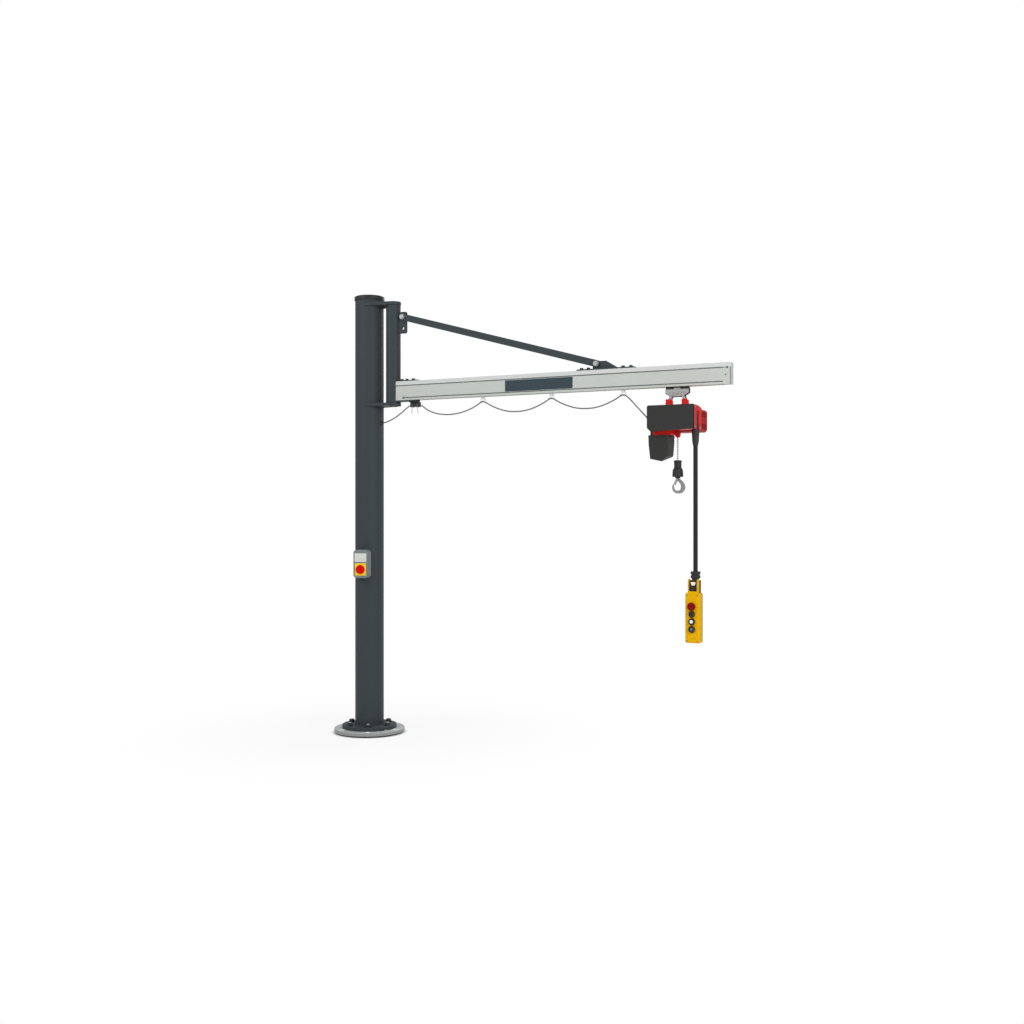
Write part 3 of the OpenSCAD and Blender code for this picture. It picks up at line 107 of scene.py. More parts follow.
# %% Turn a grid of points into a mesh
def surface(name, grids, body=None, slot=None, sharp=35.0):
    """Makes one mesh of one or more closed grids, each an array of rows, columns and x, y, z.

    A face joins each point to the next one in its row and in the next row, the last column joins
    the first, and a flat face closes each end. The sum of each triangle's triple product, which
    is six times the volume, says whether a grid is inside out, and its faces are turned if so.
    """
    points, faces, uvs, start = [], [], [], 0
    for grid in grids:
        grid = np.asarray(grid, float)
        rows, columns = grid.shape[:2]
        i, j = np.meshgrid(np.arange(rows - 1), np.arange(columns), indexing="ij")
        a, b = i * columns + j, i * columns + (j + 1) % columns
        quads = np.stack([a, b, b + columns, a + columns], -1).reshape(-1, 4)
        step = np.linalg.norm(np.diff(grid.mean(1), axis=0), axis=1)
        along = np.concatenate([[0.0], np.cumsum(step)])
        u = np.stack([j, j + 1, j + 1, j], -1).reshape(-1, 4) / columns
        v = np.stack([along[i], along[i], along[i + 1], along[i + 1]], -1).reshape(-1, 4)
        flat = grid.reshape(-1, 3)
        caps = [np.arange(columns)[::-1], np.arange(columns) + (rows - 1) * columns]
        triangles = [quads[:, [0, 1, 2]], quads[:, [0, 2, 3]]]
        triangles += [np.stack([np.full(columns - 2, c[0]), c[1:-1], c[2:]], -1) for c in caps]
        corner = flat[np.concatenate(triangles)]
        volume = np.einsum("ij,ij->i", corner[:, 0], np.cross(corner[:, 1], corner[:, 2])).sum()
        turn = slice(None, None, -1) if volume < 0 else slice(None)
        faces += (quads[:, turn] + start).tolist() + [(c[turn] + start).tolist() for c in caps]
        uvs.append(np.stack([u[:, turn], v[:, turn]], -1).reshape(-1, 2))
        ring = np.arange(columns) / columns
        uvs += [np.stack([ring, ring * 0.0], -1)] * 2
        points.append(flat)
        start += len(flat)
    mesh = bpy.data.meshes.new(name)
    mesh.from_pydata(np.concatenate(points).tolist(), [], faces)
    layer = mesh.uv_layers.new(name="along")
    layer.data.foreach_set("uv", np.concatenate(uvs).astype(np.float32).ravel())
    mesh.shade_smooth()
    mesh.set_sharp_from_angle(angle=math.radians(sharp))
    piece = bpy.data.objects.new(name, mesh)
    bpy.context.scene.collection.objects.link(piece)
    if slot:
        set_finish(piece, slot)
    if body:
        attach(piece, body)
    return piece


def unit(v):
    """Each vector over its own length."""
    return v / np.linalg.norm(v, axis=-1, keepdims=True)


# %% [markdown]
# Three kinds of grid make most fittings. A *tube* carries a circle along a path, as a cable or a
# weld bead does. A *turned* piece carries a profile round an axis, as a lathe does. A *pressed*
# piece carries an outline through its thickness, and pulls it in a little at both faces, which
# rounds the edges as a press or a mould does.


# %% Tube, turned piece and pressed piece
def tube(path, radius, sides=16):
    """Circles square to the path: centre plus radius times cos of the angle along a level side
    vector, plus radius times sin along the vector square to both. Where the path runs straight
    up no side is level, and Y stands in for it."""
    path = np.asarray(path, float)
    way = unit(np.gradient(path, axis=0))
    side = np.cross(way, [0.0, 0.0, 1.0])
    upright = np.linalg.norm(side, axis=1) < 0.05
    side[upright] = [0.0, 1.0, 0.0]
    side = unit(side - (side * way).sum(1, keepdims=True) * way)
    up = np.cross(way, side)
    angle = np.linspace(0, 2 * np.pi, sides, endpoint=False)
    radius = np.broadcast_to(np.asarray(radius, float), (len(path),))[:, None, None]
    cos, sin = np.cos(angle)[None, :, None], np.sin(angle)[None, :, None]
    return path[:, None] + radius * (cos * side[:, None] + sin * up[:, None])


def axes_of(direction):
    """Two vectors square to a direction and to each other, then the direction itself."""
    direction = unit(np.asarray(direction, float))
    helper = [0.0, 0.0, 1.0] if abs(direction[2]) < 0.9 else [1.0, 0.0, 0.0]
    first = unit(np.cross(helper, direction))
    return first, np.cross(direction, first), direction


def turned(profile, centre, axis, sides=40):
    """A profile of (radius, height) pairs carried round an axis: centre plus height along the
    axis, plus radius times cos and sin of the angle along the two vectors square to it."""
    first, second, direction = axes_of(axis)
    profile = np.asarray(profile, float)
    angle = np.linspace(0, 2 * np.pi, sides, endpoint=False)
    circle = np.cos(angle)[:, None] * first + np.sin(angle)[:, None] * second
    return (np.asarray(centre, float) + profile[:, 1, None, None] * direction
            + profile[:, 0, None, None] * circle)


def inset(outline, amount):
    """Moves each corner inwards along the sum of its two edges' normals, over one plus their dot
    product, which keeps every edge parallel to itself."""
    edge = unit(np.roll(outline, -1, 0) - outline)
    normal = np.stack([edge[:, 1], -edge[:, 0]], -1)
    before = np.roll(normal, 1, 0)
    total = 1 + (normal * before).sum(1, keepdims=True)
    return outline - amount * (normal + before) / np.maximum(total, 0.3)


def pressed(outline, low, high, edge, place):
    """An outline carried from low to high. At each face a quarter circle of radius edge rounds
    it: it is pulled in by edge times one minus sin, and rises by edge times one minus cos."""
    outline = np.asarray(outline, float)
    turn = np.linspace(0, np.pi / 2, 4)
    pull = edge * (1 - np.sin(turn))
    rise = edge * (1 - np.cos(turn))
    rows = [(p, low + r) for p, r in zip(pull, rise)]
    rows += [(p, high - r) for p, r in zip(pull[::-1], rise[::-1])]
    flat = [np.column_stack([inset(outline, p), np.full(len(outline), h)]) for p, h in rows]
    return place(np.stack(flat))


def rounded_outline(low, high, r, steps=5):
    """Corners of a rectangle, each a quarter circle round its own centre."""
    low, high = np.asarray(low, float), np.asarray(high, float)
    centres = np.array([[high[0] - r, high[1] - r], [low[0] + r, high[1] - r],
                        [low[0] + r, low[1] + r], [high[0] - r, low[1] + r]])
    angle = np.linspace(0, np.pi / 2, steps)[None] + np.arange(4)[:, None] * np.pi / 2
    arc = np.stack([np.cos(angle), np.sin(angle)], -1) * r
    return (centres[:, None] + arc).reshape(-1, 2)


def facing(origin, across, up, out):
    """Lays flat (across, up, out) points in the frame, from an origin and three directions."""
    base = np.array([across, up, out], float)
    return lambda flat: np.asarray(origin, float) + flat @ base


# %% [markdown]
# ## Cables
# The festoon cable hangs in four loops between white gliders. A hanging cable sags most in the
# middle of each span and turns over the saddle of each glider. The route's points give that, and
# a smooth curve runs through them. A thick hose, which also carries the pendant's weight, hangs
# straight. Each cable is a mesh tube, because a tube can bend or fold as the crane moves. The last
# loop ends in a short lead of its own, which stays with the trolley, so that the cable runs
# straight into the hoist's gland at every place of the trolley.

# %% Routes of the cables, in millimetres
CABLE_D = 7.5
HOSE_D = 23.0
ROUTES = {
    "supply_cable": [[84, 0, 1825], [94, 0, 1825], [105, 0, 1826], [120, 0, 1829],
                     [136, 0, 1834], [152, 0, 1840], [170, 0, 1848], [188, 0, 1857],
                     [205, 0, 1867], [222, 0, 1878], [238, 0, 1889], [253, 0, 1900],
                     [266, 0, 1909], [277, 0, 1915], [287, 0, 1917], [296, 0, 1917],
                     [319, 0, 1917]],
    "festoon_1": [[319, 0, 1917], [334, 0, 1917], [352, 0, 1917], [362, 0, 1914], [374, 0, 1906],
                  [390, 0, 1895], [412, 0, 1883], [440, 0, 1872], [470, 0, 1864], [505, 0, 1859],
                  [540, 0, 1857], [580, 0, 1859], [620, 0, 1865], [655, 0, 1874], [690, 0, 1886],
                  [718, 0, 1899], [744, 0, 1914], [755, 0, 1919], [760, 0, 1920], [764, 0, 1920]],
    "festoon_2": [[764, 0, 1920], [768, 0, 1920], [773, 0, 1919], [784, 0, 1914], [815, 0, 1897],
                  [849, 0, 1882], [884, 0, 1870], [919, 0, 1862], [953, 0, 1858],
                  [1000, 0, 1858], [1034, 0, 1862], [1069, 0, 1870], [1104, 0, 1882],
                  [1138, 0, 1897], [1169, 0, 1914], [1180, 0, 1919], [1185, 0, 1920],
                  [1189, 0, 1920]],
    "festoon_3": [[1189, 0, 1920], [1193, 0, 1920], [1198, 0, 1919], [1209, 0, 1914],
                  [1239, 0, 1897], [1274, 0, 1882], [1308, 0, 1870], [1342, 0, 1862],
                  [1376, 0, 1858], [1422, 0, 1858], [1456, 0, 1862], [1490, 0, 1870],
                  [1524, 0, 1882], [1559, 0, 1897], [1589, 0, 1914], [1600, 0, 1919],
                  [1605, 0, 1920], [1609, 0, 1920]],
    "festoon_4": [[1609, 0, 1920], [1613, 0, 1920], [1618, 0, 1919], [1629, 0, 1913],
                  [1641, 0, 1903], [1655, 0, 1889], [1670, 0, 1873], [1685, 0, 1857],
                  [1700, 0, 1841], [1715, 0, 1825], [1729, -1, 1810], [1742, -4, 1797],
                  [1753, -9, 1785], [1763, -13, 1775], [1771, -15, 1769], [1777, -15, 1768],
                  [1792, -15, 1768]],
    "control_hose": [[2026, -56, 1722], [2026, -56, 1690], [2026, -56, 1650], [2026, -56, 1600],
                     [2026, -56, 1550], [2026, -56, 1500], [2026, -56, 1450], [2026, -56, 1400],
                     [2026, -56, 1350], [2026, -56, 1300], [2026, -56, 1250], [2026, -56, 1200],
                     [2026, -56, 1150], [2026, -56, 1100], [2026, -56, 1040], [2026, -56, 980]],
}


def smooth_route(name, steps=7):
    """A cubic between each two points, whose slope at a point is half the chord between the
    points beside it, so the curve passes through all of them without a corner. In metres."""
    p = np.array(ROUTES[name], float) * MM
    ends = np.concatenate([p[:1], p, p[-1:]])
    a, b, c, d = (ends[k:k + len(p) - 1, None] for k in range(4))
    t = np.linspace(0, 1, steps, endpoint=False)[None, :, None]
    curve = 0.5 * (2 * b + (c - a) * t + (2 * a - 5 * b + 4 * c - d) * t ** 2
                   + (3 * b - 3 * c + d - a) * t ** 3)
    return np.concatenate([curve.reshape(-1, 3), p[-1:]])


def length_of(path):
    """The sum of the distances between neighbouring points."""
    return float(np.linalg.norm(np.diff(path, axis=0), axis=1).sum())


# %% Make the cables
# The lead starts at this X. The sheath runs on inside it for LAP - 1 points, a little thinner.
LEAD_FROM = 1.742
LAP, LAP_WIDTH = 3, 0.9
cable = {}
for cable_name in ROUTES:
    is_hose = cable_name == "control_hose"
    path = smooth_route(cable_name)
    width = (HOSE_D if is_hose else CABLE_D) * MM
    radius = np.full(len(path), width / 2)
    print(cable_name, "is", round(length_of(path), 3), "m long")
    if cable_name == "festoon_4":
        cut = int(np.searchsorted(path[:, 0], LEAD_FROM))
        lead = surface("festoon_lead", [tube(path[cut:], width / 2)], "trolley", "cable_grey")
        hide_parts(cable_name)
        path, radius = path[:cut + LAP], radius[:cut + LAP]
        radius[-LAP + 1:] *= LAP_WIDTH
    piece = surface(cable_name + "_sheath", [tube(path, radius, 24 if is_hose else 16)],
                    slot="hose_black" if is_hose else "cable_grey")
    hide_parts(cable_name)
    cable[cable_name] = piece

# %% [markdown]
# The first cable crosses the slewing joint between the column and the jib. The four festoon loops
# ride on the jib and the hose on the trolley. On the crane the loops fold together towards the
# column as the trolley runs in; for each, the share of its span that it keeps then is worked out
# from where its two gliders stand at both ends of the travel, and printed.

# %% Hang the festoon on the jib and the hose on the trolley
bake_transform(cable["supply_cable"])
# For each loop: X of its inner end at rest and with the trolley in, then of its outer end.
TRAVEL = 1.192
TRAVEL_IN = {"festoon_1": ((0.319, 0.319), (0.764, 0.4155)),
             "festoon_2": ((0.764, 0.4155), (1.189, 0.470)),
             "festoon_3": ((1.189, 0.470), (1.609, 0.525)),
             "festoon_4": ((1.609, 0.525), (LEAD_FROM, LEAD_FROM - TRAVEL))}
for loop_name, ((x0, x0_in), (x1, x1_in)) in TRAVEL_IN.items():
    share = (x1_in - x0_in) / (x1 - x0)
    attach(cable[loop_name], "jib")
    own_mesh(cable[loop_name])
    print(loop_name, "keeps", round(share, 3), "of its span")
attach(cable["control_hose"], "trolley")

# %% [markdown]
# ## The load chain
# A hoist chain is round steel bent into short links, each at a right angle to the next. The hook
# draws it out of the hoist. Here it is one mesh of links from the hoist down to the hook block.
# Each link is a tube along a stadium: two straights and two half circles.

# %% Make the chain
CHAIN_D, CHAIN_PITCH, CHAIN_LINKS = 3.2 * MM, 9.6 * MM, 15
CHAIN_X, CHAIN_TOP, CHAIN_LOW = 1.912, 1.712, 1.568
LINK_INNER_R, LINK_PLAY = 1.9 * MM, 0.3 * MM


def link_grid(height, quarter, steps=20, sides=8):
    """A closed loop of circles. The middle line is a half circle of the bend's radius at each
    end, moved apart by the straight's length; the circle's two vectors are the line's own
    outward normal and the link's flat normal."""
    bend = CHAIN_D / 2 + LINK_INNER_R
    half = (CHAIN_PITCH + CHAIN_D + LINK_PLAY) / 2 - bend
    angle = np.linspace(0, 2 * np.pi, steps + 1)
    out = np.stack([np.cos(angle), np.sin(angle)], -1)
    middle = out * bend
    middle[:, 1] += np.where(np.sin(angle) >= 0, half, -half)
    across = np.array([[1.0, 0, 0], [0, 1.0, 0]])[quarter]
    flat = np.cross(across, [0, 0, 1.0])
    line = middle[:, :1] * across + middle[:, 1:] * np.array([0, 0, 1.0])
    outward = out[:, :1] * across + out[:, 1:] * np.array([0, 0, 1.0])
    turn = np.linspace(0, 2 * np.pi, sides, endpoint=False)
    ring = np.cos(turn)[None, :, None] * outward[:, None] + np.sin(turn)[None, :, None] * flat
    return line[:, None] + CHAIN_D / 2 * ring + np.array([CHAIN_X, 0, height])


heights = CHAIN_LOW + CHAIN_PITCH / 2 + CHAIN_PITCH * np.arange(CHAIN_LINKS)
chain = surface("chain_links", [link_grid(h, k % 2) for k, h in enumerate(heights)],
                slot="bright_steel", sharp=60)
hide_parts("load_chain")
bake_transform(chain)
print("chain has", CHAIN_LINKS, "links")

# %% [markdown]
# ## Welds
# The column, its flange, the bearing arms and the brackets are welded. A fillet weld shows as a
# bead along the joint, with fine ripples where each drop of metal set. It is a tube along the
# joint whose radius rises and falls a little.

# %% Lay the weld beads
COLUMN_R = 168.3 / 2 * MM
PIVOT, PIVOT_R = (0.167, 0.0), 0.043
FLANGE_TOP = 0.0488
ARM_EDGES = (1.9200, 1.9380, 2.5100, 2.5280)
ROOT_PLATE_EDGES = (1.9430, 2.0660)
BRACKET_LOW, BRACKET_HIGH = 2.343, 2.464
LUG_START, LUG_END, LUG_FOOT = 1.438, 1.572, 2.0672
SIDES_Y = (-0.006, 0.006)
RIPPLE, SWELL = 1.4, 0.10


def bead(path, radius=3.0 * MM):
    """A tube whose radius is multiplied by one plus a tenth of the sine of the length run, with
    one ripple in every 1.4 radii."""
    path = np.asarray(path, float)
    step = np.linalg.norm(np.diff(path, axis=0), axis=1)
    along = np.concatenate([[0.0], np.cumsum(step)])
    return tube(path, radius * (1 + SWELL * np.sin(2 * np.pi * along / (RIPPLE * radius))), 10)


def seam(start, end, steps, radius):
    """A bead on the straight line between two points."""
    return bead(np.linspace(start, end, steps), radius)


def arc(centre, radius, z, start, stop, steps):
    """Points on a level circle between two angles in degrees."""
    angle = np.radians(np.linspace(start, stop, steps))
    return np.column_stack([centre[0] + radius * np.cos(angle), centre[1] + radius * np.sin(angle),
                            np.full(steps, z)])


surface("flange_weld", [bead(arc((0, 0), COLUMN_R, FLANGE_TOP, 0, 360, 700))], "column",
        "column_paint")
surface("arm_welds", [bead(arc((0, 0), COLUMN_R, z, -72, 72, 400), 2.4 * MM) for z in ARM_EDGES],
        "column", "column_paint")
root_beads = [bead(arc(PIVOT, PIVOT_R, z, -32, 32, 120), 1.8 * MM) for z in ROOT_PLATE_EDGES]
for y in SIDES_Y:
    bracket_x = PIVOT[0] + math.sqrt(PIVOT_R ** 2 - y ** 2)
    root_beads.append(seam((bracket_x, y, BRACKET_LOW), (bracket_x, y, BRACKET_HIGH), 120,
                           2.2 * MM))
surface("bracket_welds", root_beads, "jib", "column_paint")
surface("lug_weld", [seam((LUG_START, y, LUG_FOOT), (LUG_END, y, LUG_FOOT), 140, 2.0 * MM)
                     for y in SIDES_Y], "jib", "column_paint")
print("welds laid")

# %% [markdown]
# ## Screws
# The covers are held by small screws. A screw head is a turned piece. Its drive is a six-sided
# disc of another shade, a hair proud of the head. Where the disc is dark, it is painted shade
# standing in for the hollow of the drive's socket.


# %% Small screws
def screw(centre, axis, radius, height):
    """A low head: straight up to 0.55 of its height, then a curve of falling slope that is level
    from half the radius inwards."""
    r = np.array([1.0, 1.0, 0.93, 0.75, 0.5, 0.25]) * radius
    h = height * np.array([0.0, 0.55, 0.8, 0.95, 1.0, 1.0])
    return turned(np.column_stack([r, h]), centre, axis, 20)


def drive(centre, axis, radius, height):
    """A turned piece of six sides, from 0.6 of the head's height to a little above its top. A dark
    one is painted shade for the hollow of the drive's socket.
    """
    profile = [(radius, height * 0.6), (radius, height * 1.02), (radius * 0.6, height * 1.03)]
    return turned(profile, centre, axis, 6)


def screws(name, centres, axis, radius, height, body, slot, drive_slot="dark_plastic"):
    """One piece for all the heads, and one for their drives, 0.45 of a head wide. The drives are
    dark unless another slot is given: painted shade for the hollow of the socket.
    """
    surface(name, [screw(c, axis, radius, height) for c in centres], body, slot)
    surface(name + "_drives", [drive(c, axis, radius * 0.45, height) for c in centres], body,
            drive_slot)


# %% [markdown]
# ## Foot and column
# The anchor plate lies on the floor and carries an earth screw beside the flange. The ends of the
# flange's studs stand a little out of their nuts.

# %% Stud ends and earth screw
STUD_RING, STUD_FOOT = 0.126, 0.0630
EARTH_RING, EARTH_ANGLE, PLATE_TOP = 0.174, -24, 0.028


def round_the_column(radius, degrees, z):
    """The point at a distance from the column's axis, an angle and a height."""
    angle = math.radians(degrees)
    return radius * math.cos(angle), radius * math.sin(angle), z


stud_profile = [(0.0088, 0.0), (0.0088, 0.0036), (0.0076, 0.0048), (0.004, 0.0048)]
surface("stud_ends", [turned(stud_profile, round_the_column(STUD_RING, 60 * k, STUD_FOOT),
                             (0, 0, 1), 24) for k in range(6)], "column", "bright_steel")
earth_at = round_the_column(EARTH_RING, EARTH_ANGLE, PLATE_TOP)
screws("earth_screw", [earth_at], (0, 0, 1), 0.008, 0.007, "column", "bright_steel")
print("earth screw at", [round(v, 3) for v in earth_at])

# %% [markdown]
# ## Main switch
# The switch box is moulded in two halves. Four screws hold its lid. The red knob carries a darker
# pointer, which shows its turn.

# %% Switch details
SWITCH_TURN = math.radians(-78)
SWITCH_OUT = np.array([math.cos(SWITCH_TURN), math.sin(SWITCH_TURN), 0.0])
SWITCH_ACROSS = np.array([-math.sin(SWITCH_TURN), math.cos(SWITCH_TURN), 0.0])
SWITCH_FACE = COLUMN_R + 0.057
SWITCH_SCREWS = [(x, z) for x in (-0.0385, 0.0385) for z in (0.9325, 1.0645)]
KNOB_Z, KNOB_TOP = 0.9665, 0.0258


def on_switch(across, z):
    """A point on the lid, at a distance across from its middle line and at a height."""
    return SWITCH_OUT * SWITCH_FACE + SWITCH_ACROSS * across + np.array([0, 0, z])


screws("switch_screws", [on_switch(*at) for at in SWITCH_SCREWS], SWITCH_OUT, 0.0028, 0.0014,
       "column", "bright_steel")
pointer = facing(on_switch(0, KNOB_Z), SWITCH_ACROSS, (0, 0, 1), SWITCH_OUT)
pointer_outline = rounded_outline((-0.0022, 0.004), (0.0022, 0.021), 0.001)
surface("knob_pointer", [pressed(pointer_outline, KNOB_TOP, KNOB_TOP + 0.0008, 0.0003, pointer)],
        "switch_knob", "red_plastic")
print("switch face at", np.round(on_switch(0, KNOB_Z), 3))

# %% [markdown]
# ## Jib
# The end cap is held by a screw near its top. A grey strip of painted shade carries the upper
# groove's dark line on as far as that screw. The two cable clamps are held by cable ties whose
# tails hang down.

# %% Jib details
JIB_FRONT, CAP_SCREW_AT = -0.027, (2.183, -0.0245, 2.034)
CABLE_Z, TIE_R = 1.917, 0.0102
TAIL_TOP, TAIL_LOW, TAIL_Y = 1.908, 1.872, -0.008
TIES = ((0.301, -0.003), (0.337, 0.004))
front = facing((0, JIB_FRONT, 0), (1, 0, 0), (0, 0, 1), (0, -1, 0))
screws("end_cap_screws", [CAP_SCREW_AT], (0, -1, 0), 0.0042, 0.003, "jib", "dark_plastic")
# A grey strip on the end cap: painted shade standing in for the upper groove's hollow
groove_end_shade = rounded_outline((2.1590, 2.0320), (2.1800, 2.0360), 0.0015, 3)
surface("groove_end_shade", [pressed(groove_end_shade, -0.0005, 0.0002, 0.0001, front)], "jib",
        "switch_grey")
# Each tie has a tail, which swings aside with the square of how far it has run, and a loop.
tails, loops = [], []
for x, swing in TIES:
    z = np.linspace(TAIL_TOP, TAIL_LOW, 8)
    run = (TAIL_TOP - z) / (TAIL_TOP - TAIL_LOW)
    tails.append(tube(np.column_stack([x + swing * run ** 2, np.full(8, TAIL_Y), z]), 0.0020, 6))
    angle = np.radians(np.linspace(-200, 20, 25))
    loops.append(tube(np.column_stack([np.full(25, x), TIE_R * np.cos(angle),
                                       CABLE_Z + TIE_R * np.sin(angle)]), 0.0012, 6))
surface("cable_ties", tails + loops, "jib", "bright_steel")
print("ties made")

# %% [markdown]
# ## Hoist
# The front cover is a flat moulding held by four screws. Four more close the housing's end
# behind it.

# %% Hoist details
COVER_Y, HOUSING_X = -0.120, 2.038
screws("cover_screws", [(x, COVER_Y, z) for x in (1.797, 2.026) for z in (1.836, 1.745)],
       (0, -1, 0), 0.0032, 0.0016, "trolley", "dark_plastic")
screws("housing_screws", [(HOUSING_X, y, z) for y in (-0.100, -0.020) for z in (1.834, 1.733)],
       (1, 0, 0), 0.0035, 0.0020, "trolley", "bright_steel")
print("hoist screws made")

# %% [markdown]
# ## Pendant
# The pendant hangs turned a little on its hose. Four screws hold its lid. Each push button sits
# in a collar and has a coloured centre. Between the two ears a black block carries a small plug
# and, above it, the light strain relief.

# %% Pendant details
HOSE_X, HOSE_Y = 2.026, -0.056
PENDANT_TURN, PENDANT_SHIFT = math.radians(-3), 0.0055
# How far out from the hose's axis each of these lies
BLOCK_OUT, LID_OUT, PANEL_OUT, COLLAR_OUT, CAP_OUT = 0.0168, 0.0330, 0.0375, 0.0376, 0.0460
# Each button: its height, then the radius of its centre and of its collar
BUTTONS = (("button_black", 0.781, 0.0068, 0.0169), ("button_white", 0.743, 0.0088, 0.0177),
           ("button_blue", 0.704, 0.0078, 0.0177))
PENDANT_ACROSS = np.array([math.cos(PENDANT_TURN), math.sin(PENDANT_TURN), 0.0])
PENDANT_BACK = np.array([-math.sin(PENDANT_TURN), math.cos(PENDANT_TURN), 0.0])
pendant_origin = np.array([HOSE_X, HOSE_Y, 0.0]) - PENDANT_SHIFT * PENDANT_ACROSS
on_pendant = facing(pendant_origin, PENDANT_ACROSS, (0, 0, 1), -PENDANT_BACK)


def pendant_point(across, z, out):
    """One point of the pendant, at a distance across, a height and a distance out."""
    return on_pendant(np.array([across, z, out]))


screws("pendant_screws", [pendant_point(x, z, LID_OUT) for x in (-0.028, 0.028)
                          for z in (0.644, 0.876)], -PENDANT_BACK, 0.0034, 0.0014, "trolley",
       "dark_plastic", "bright_steel")
turn = np.linspace(0, 2 * np.pi, 49)[:, None]
ring = np.cos(turn) * PENDANT_ACROSS + np.sin(turn) * np.array([0.0, 0.0, 1.0])
surface("button_collars", [tube(pendant_point(0, z, COLLAR_OUT) + collar * ring, 0.0011, 8)
                           for _, z, _, collar in BUTTONS], "trolley", "dark_plastic")
for button, z, radius, _ in BUTTONS:
    disc = turned([(radius, 0.0), (radius, 0.0008), (radius - 0.001, 0.0014), (0.004, 0.0016)],
                  pendant_point(0, z, CAP_OUT), -PENDANT_BACK)
    surface(button + "_centre", [disc], button, "white_plastic")
relief = np.array([(-0.008, 0.926), (0.008, 0.926), (0.0125, 0.938), (0.0125, 0.943),
                   (-0.0125, 0.943), (-0.0125, 0.938)])
plug = rounded_outline((-0.012, 0.901), (0.012, 0.921), 0.003)
surface("pendant_relief", [pressed(relief, BLOCK_OUT, 0.0220, 0.0012, on_pendant)], "trolley",
        "white_plastic")
surface("pendant_plug", [pressed(plug, BLOCK_OUT, 0.0205, 0.0012, on_pendant)], "trolley",
        "dark_plastic")
print("pendant face at", np.round(pendant_point(0, 0.76, PANEL_OUT), 3))

# %% [markdown]
# ## Effects shared by the finishes
# Paint, plastic and metal share a few effects: a fine grain, lines drawn along a section, wear on
# edges, and dust on faces that look up. Each effect is a node group with named inputs, built once
# and placed in every material with its own values.

# %% Helpers for shader nodes
def linear(r, g, b):
    """Screen values from 0 to 255 to linear light: above a small toe, ((c + 0.055) / 1.055) to
    the power 2.4."""
    c = np.array([r, g, b]) / 255.0
    return tuple(np.where(c < 0.04045, c / 12.92, ((c + 0.055) / 1.055) ** 2.4)) + (1.0,)


def new_group(name, inputs, outputs):
    """A node group of number sockets, with its input and output nodes."""
    group = bpy.data.node_groups.new(name, "ShaderNodeTree")
    for label, value in inputs.items():
        socket = group.interface.new_socket(label, in_out="INPUT", socket_type="NodeSocketFloat")
        socket.default_value = value
    for label in outputs:
        group.interface.new_socket(label, in_out="OUTPUT", socket_type="NodeSocketFloat")
    return group, group.nodes.new("NodeGroupInput"), group.nodes.new("NodeGroupOutput")


def math_node(tree, operation, first, second=None, third=None, clamp=False):
    """One Math node; a number goes on its socket and an output is linked to it."""
    node = tree.nodes.new("ShaderNodeMath")
    node.operation = operation
    node.use_clamp = clamp
    for socket, value in zip(node.inputs, (first, second, third)):
        if isinstance(value, (int, float)):
            socket.default_value = value
        elif value is not None:
            tree.links.new(value, socket)
    return node.outputs[0]


def noise_node(tree, vector, scale, detail=3.0, rough=0.5):
    """Noise at a place; its scale is a number or an output."""
    node = tree.nodes.new("ShaderNodeTexNoise")
    node.inputs["Detail"].default_value = detail
    node.inputs["Roughness"].default_value = rough
    if isinstance(scale, (int, float)):
        node.inputs["Scale"].default_value = scale
    else:
        tree.links.new(scale, node.inputs["Scale"])
    tree.links.new(vector, node.inputs["Vector"])
    return node.outputs["Fac"]


# %% [markdown]
# *Grain* gives a fine mottle and a broad one. *Drawn lines* is the same noise, pulled out a
# hundred times along the jib, as the die leaves it on an extrusion. *Edge wear and highlight*
# compares the face's own normal with one rounded over a small radius: they differ only near an
# edge, where the finishes lay a lighter colour, partly wear and partly a painted highlight. *Dust*
# keeps what looks up, broken up by noise.

# %% Build the effect groups
EDGE_GAIN = 6.0
# How noise breaks up the lighter edges, partly wear and partly a painted highlight
WEAR_AND_HIGHLIGHT_GAIN, WEAR_AND_HIGHLIGHT_START = 2.4, -0.7
DUST_GAIN, DUST_START = 3.0, -1.8


def build_grain():
    """Two noises at the piece's own coordinates."""
    tree, given, out = new_group("grain", {"Fine Scale": 900.0, "Broad Scale": 6.0},
                                 ["Fine", "Broad"])
    place = tree.nodes.new("ShaderNodeTexCoord").outputs["Object"]
    tree.links.new(noise_node(tree, place, given.outputs["Fine Scale"], 2.0), out.inputs["Fine"])
    tree.links.new(noise_node(tree, place, given.outputs["Broad Scale"], 5.0, 0.6),
                   out.inputs["Broad"])
    return tree


def build_drawn_lines():
    """Noise at coordinates whose X is a hundredth of the piece's own."""
    tree, given, out = new_group("drawn_lines", {"Scale": 900.0}, ["Line"])
    place = tree.nodes.new("ShaderNodeTexCoord").outputs["Object"]
    pull = tree.nodes.new("ShaderNodeMapping")
    pull.inputs["Scale"].default_value = (0.01, 1.0, 1.0)
    tree.links.new(place, pull.inputs["Vector"])
    tree.links.new(noise_node(tree, pull.outputs[0], given.outputs["Scale"], 3.0),
                   out.inputs["Line"])
    return tree


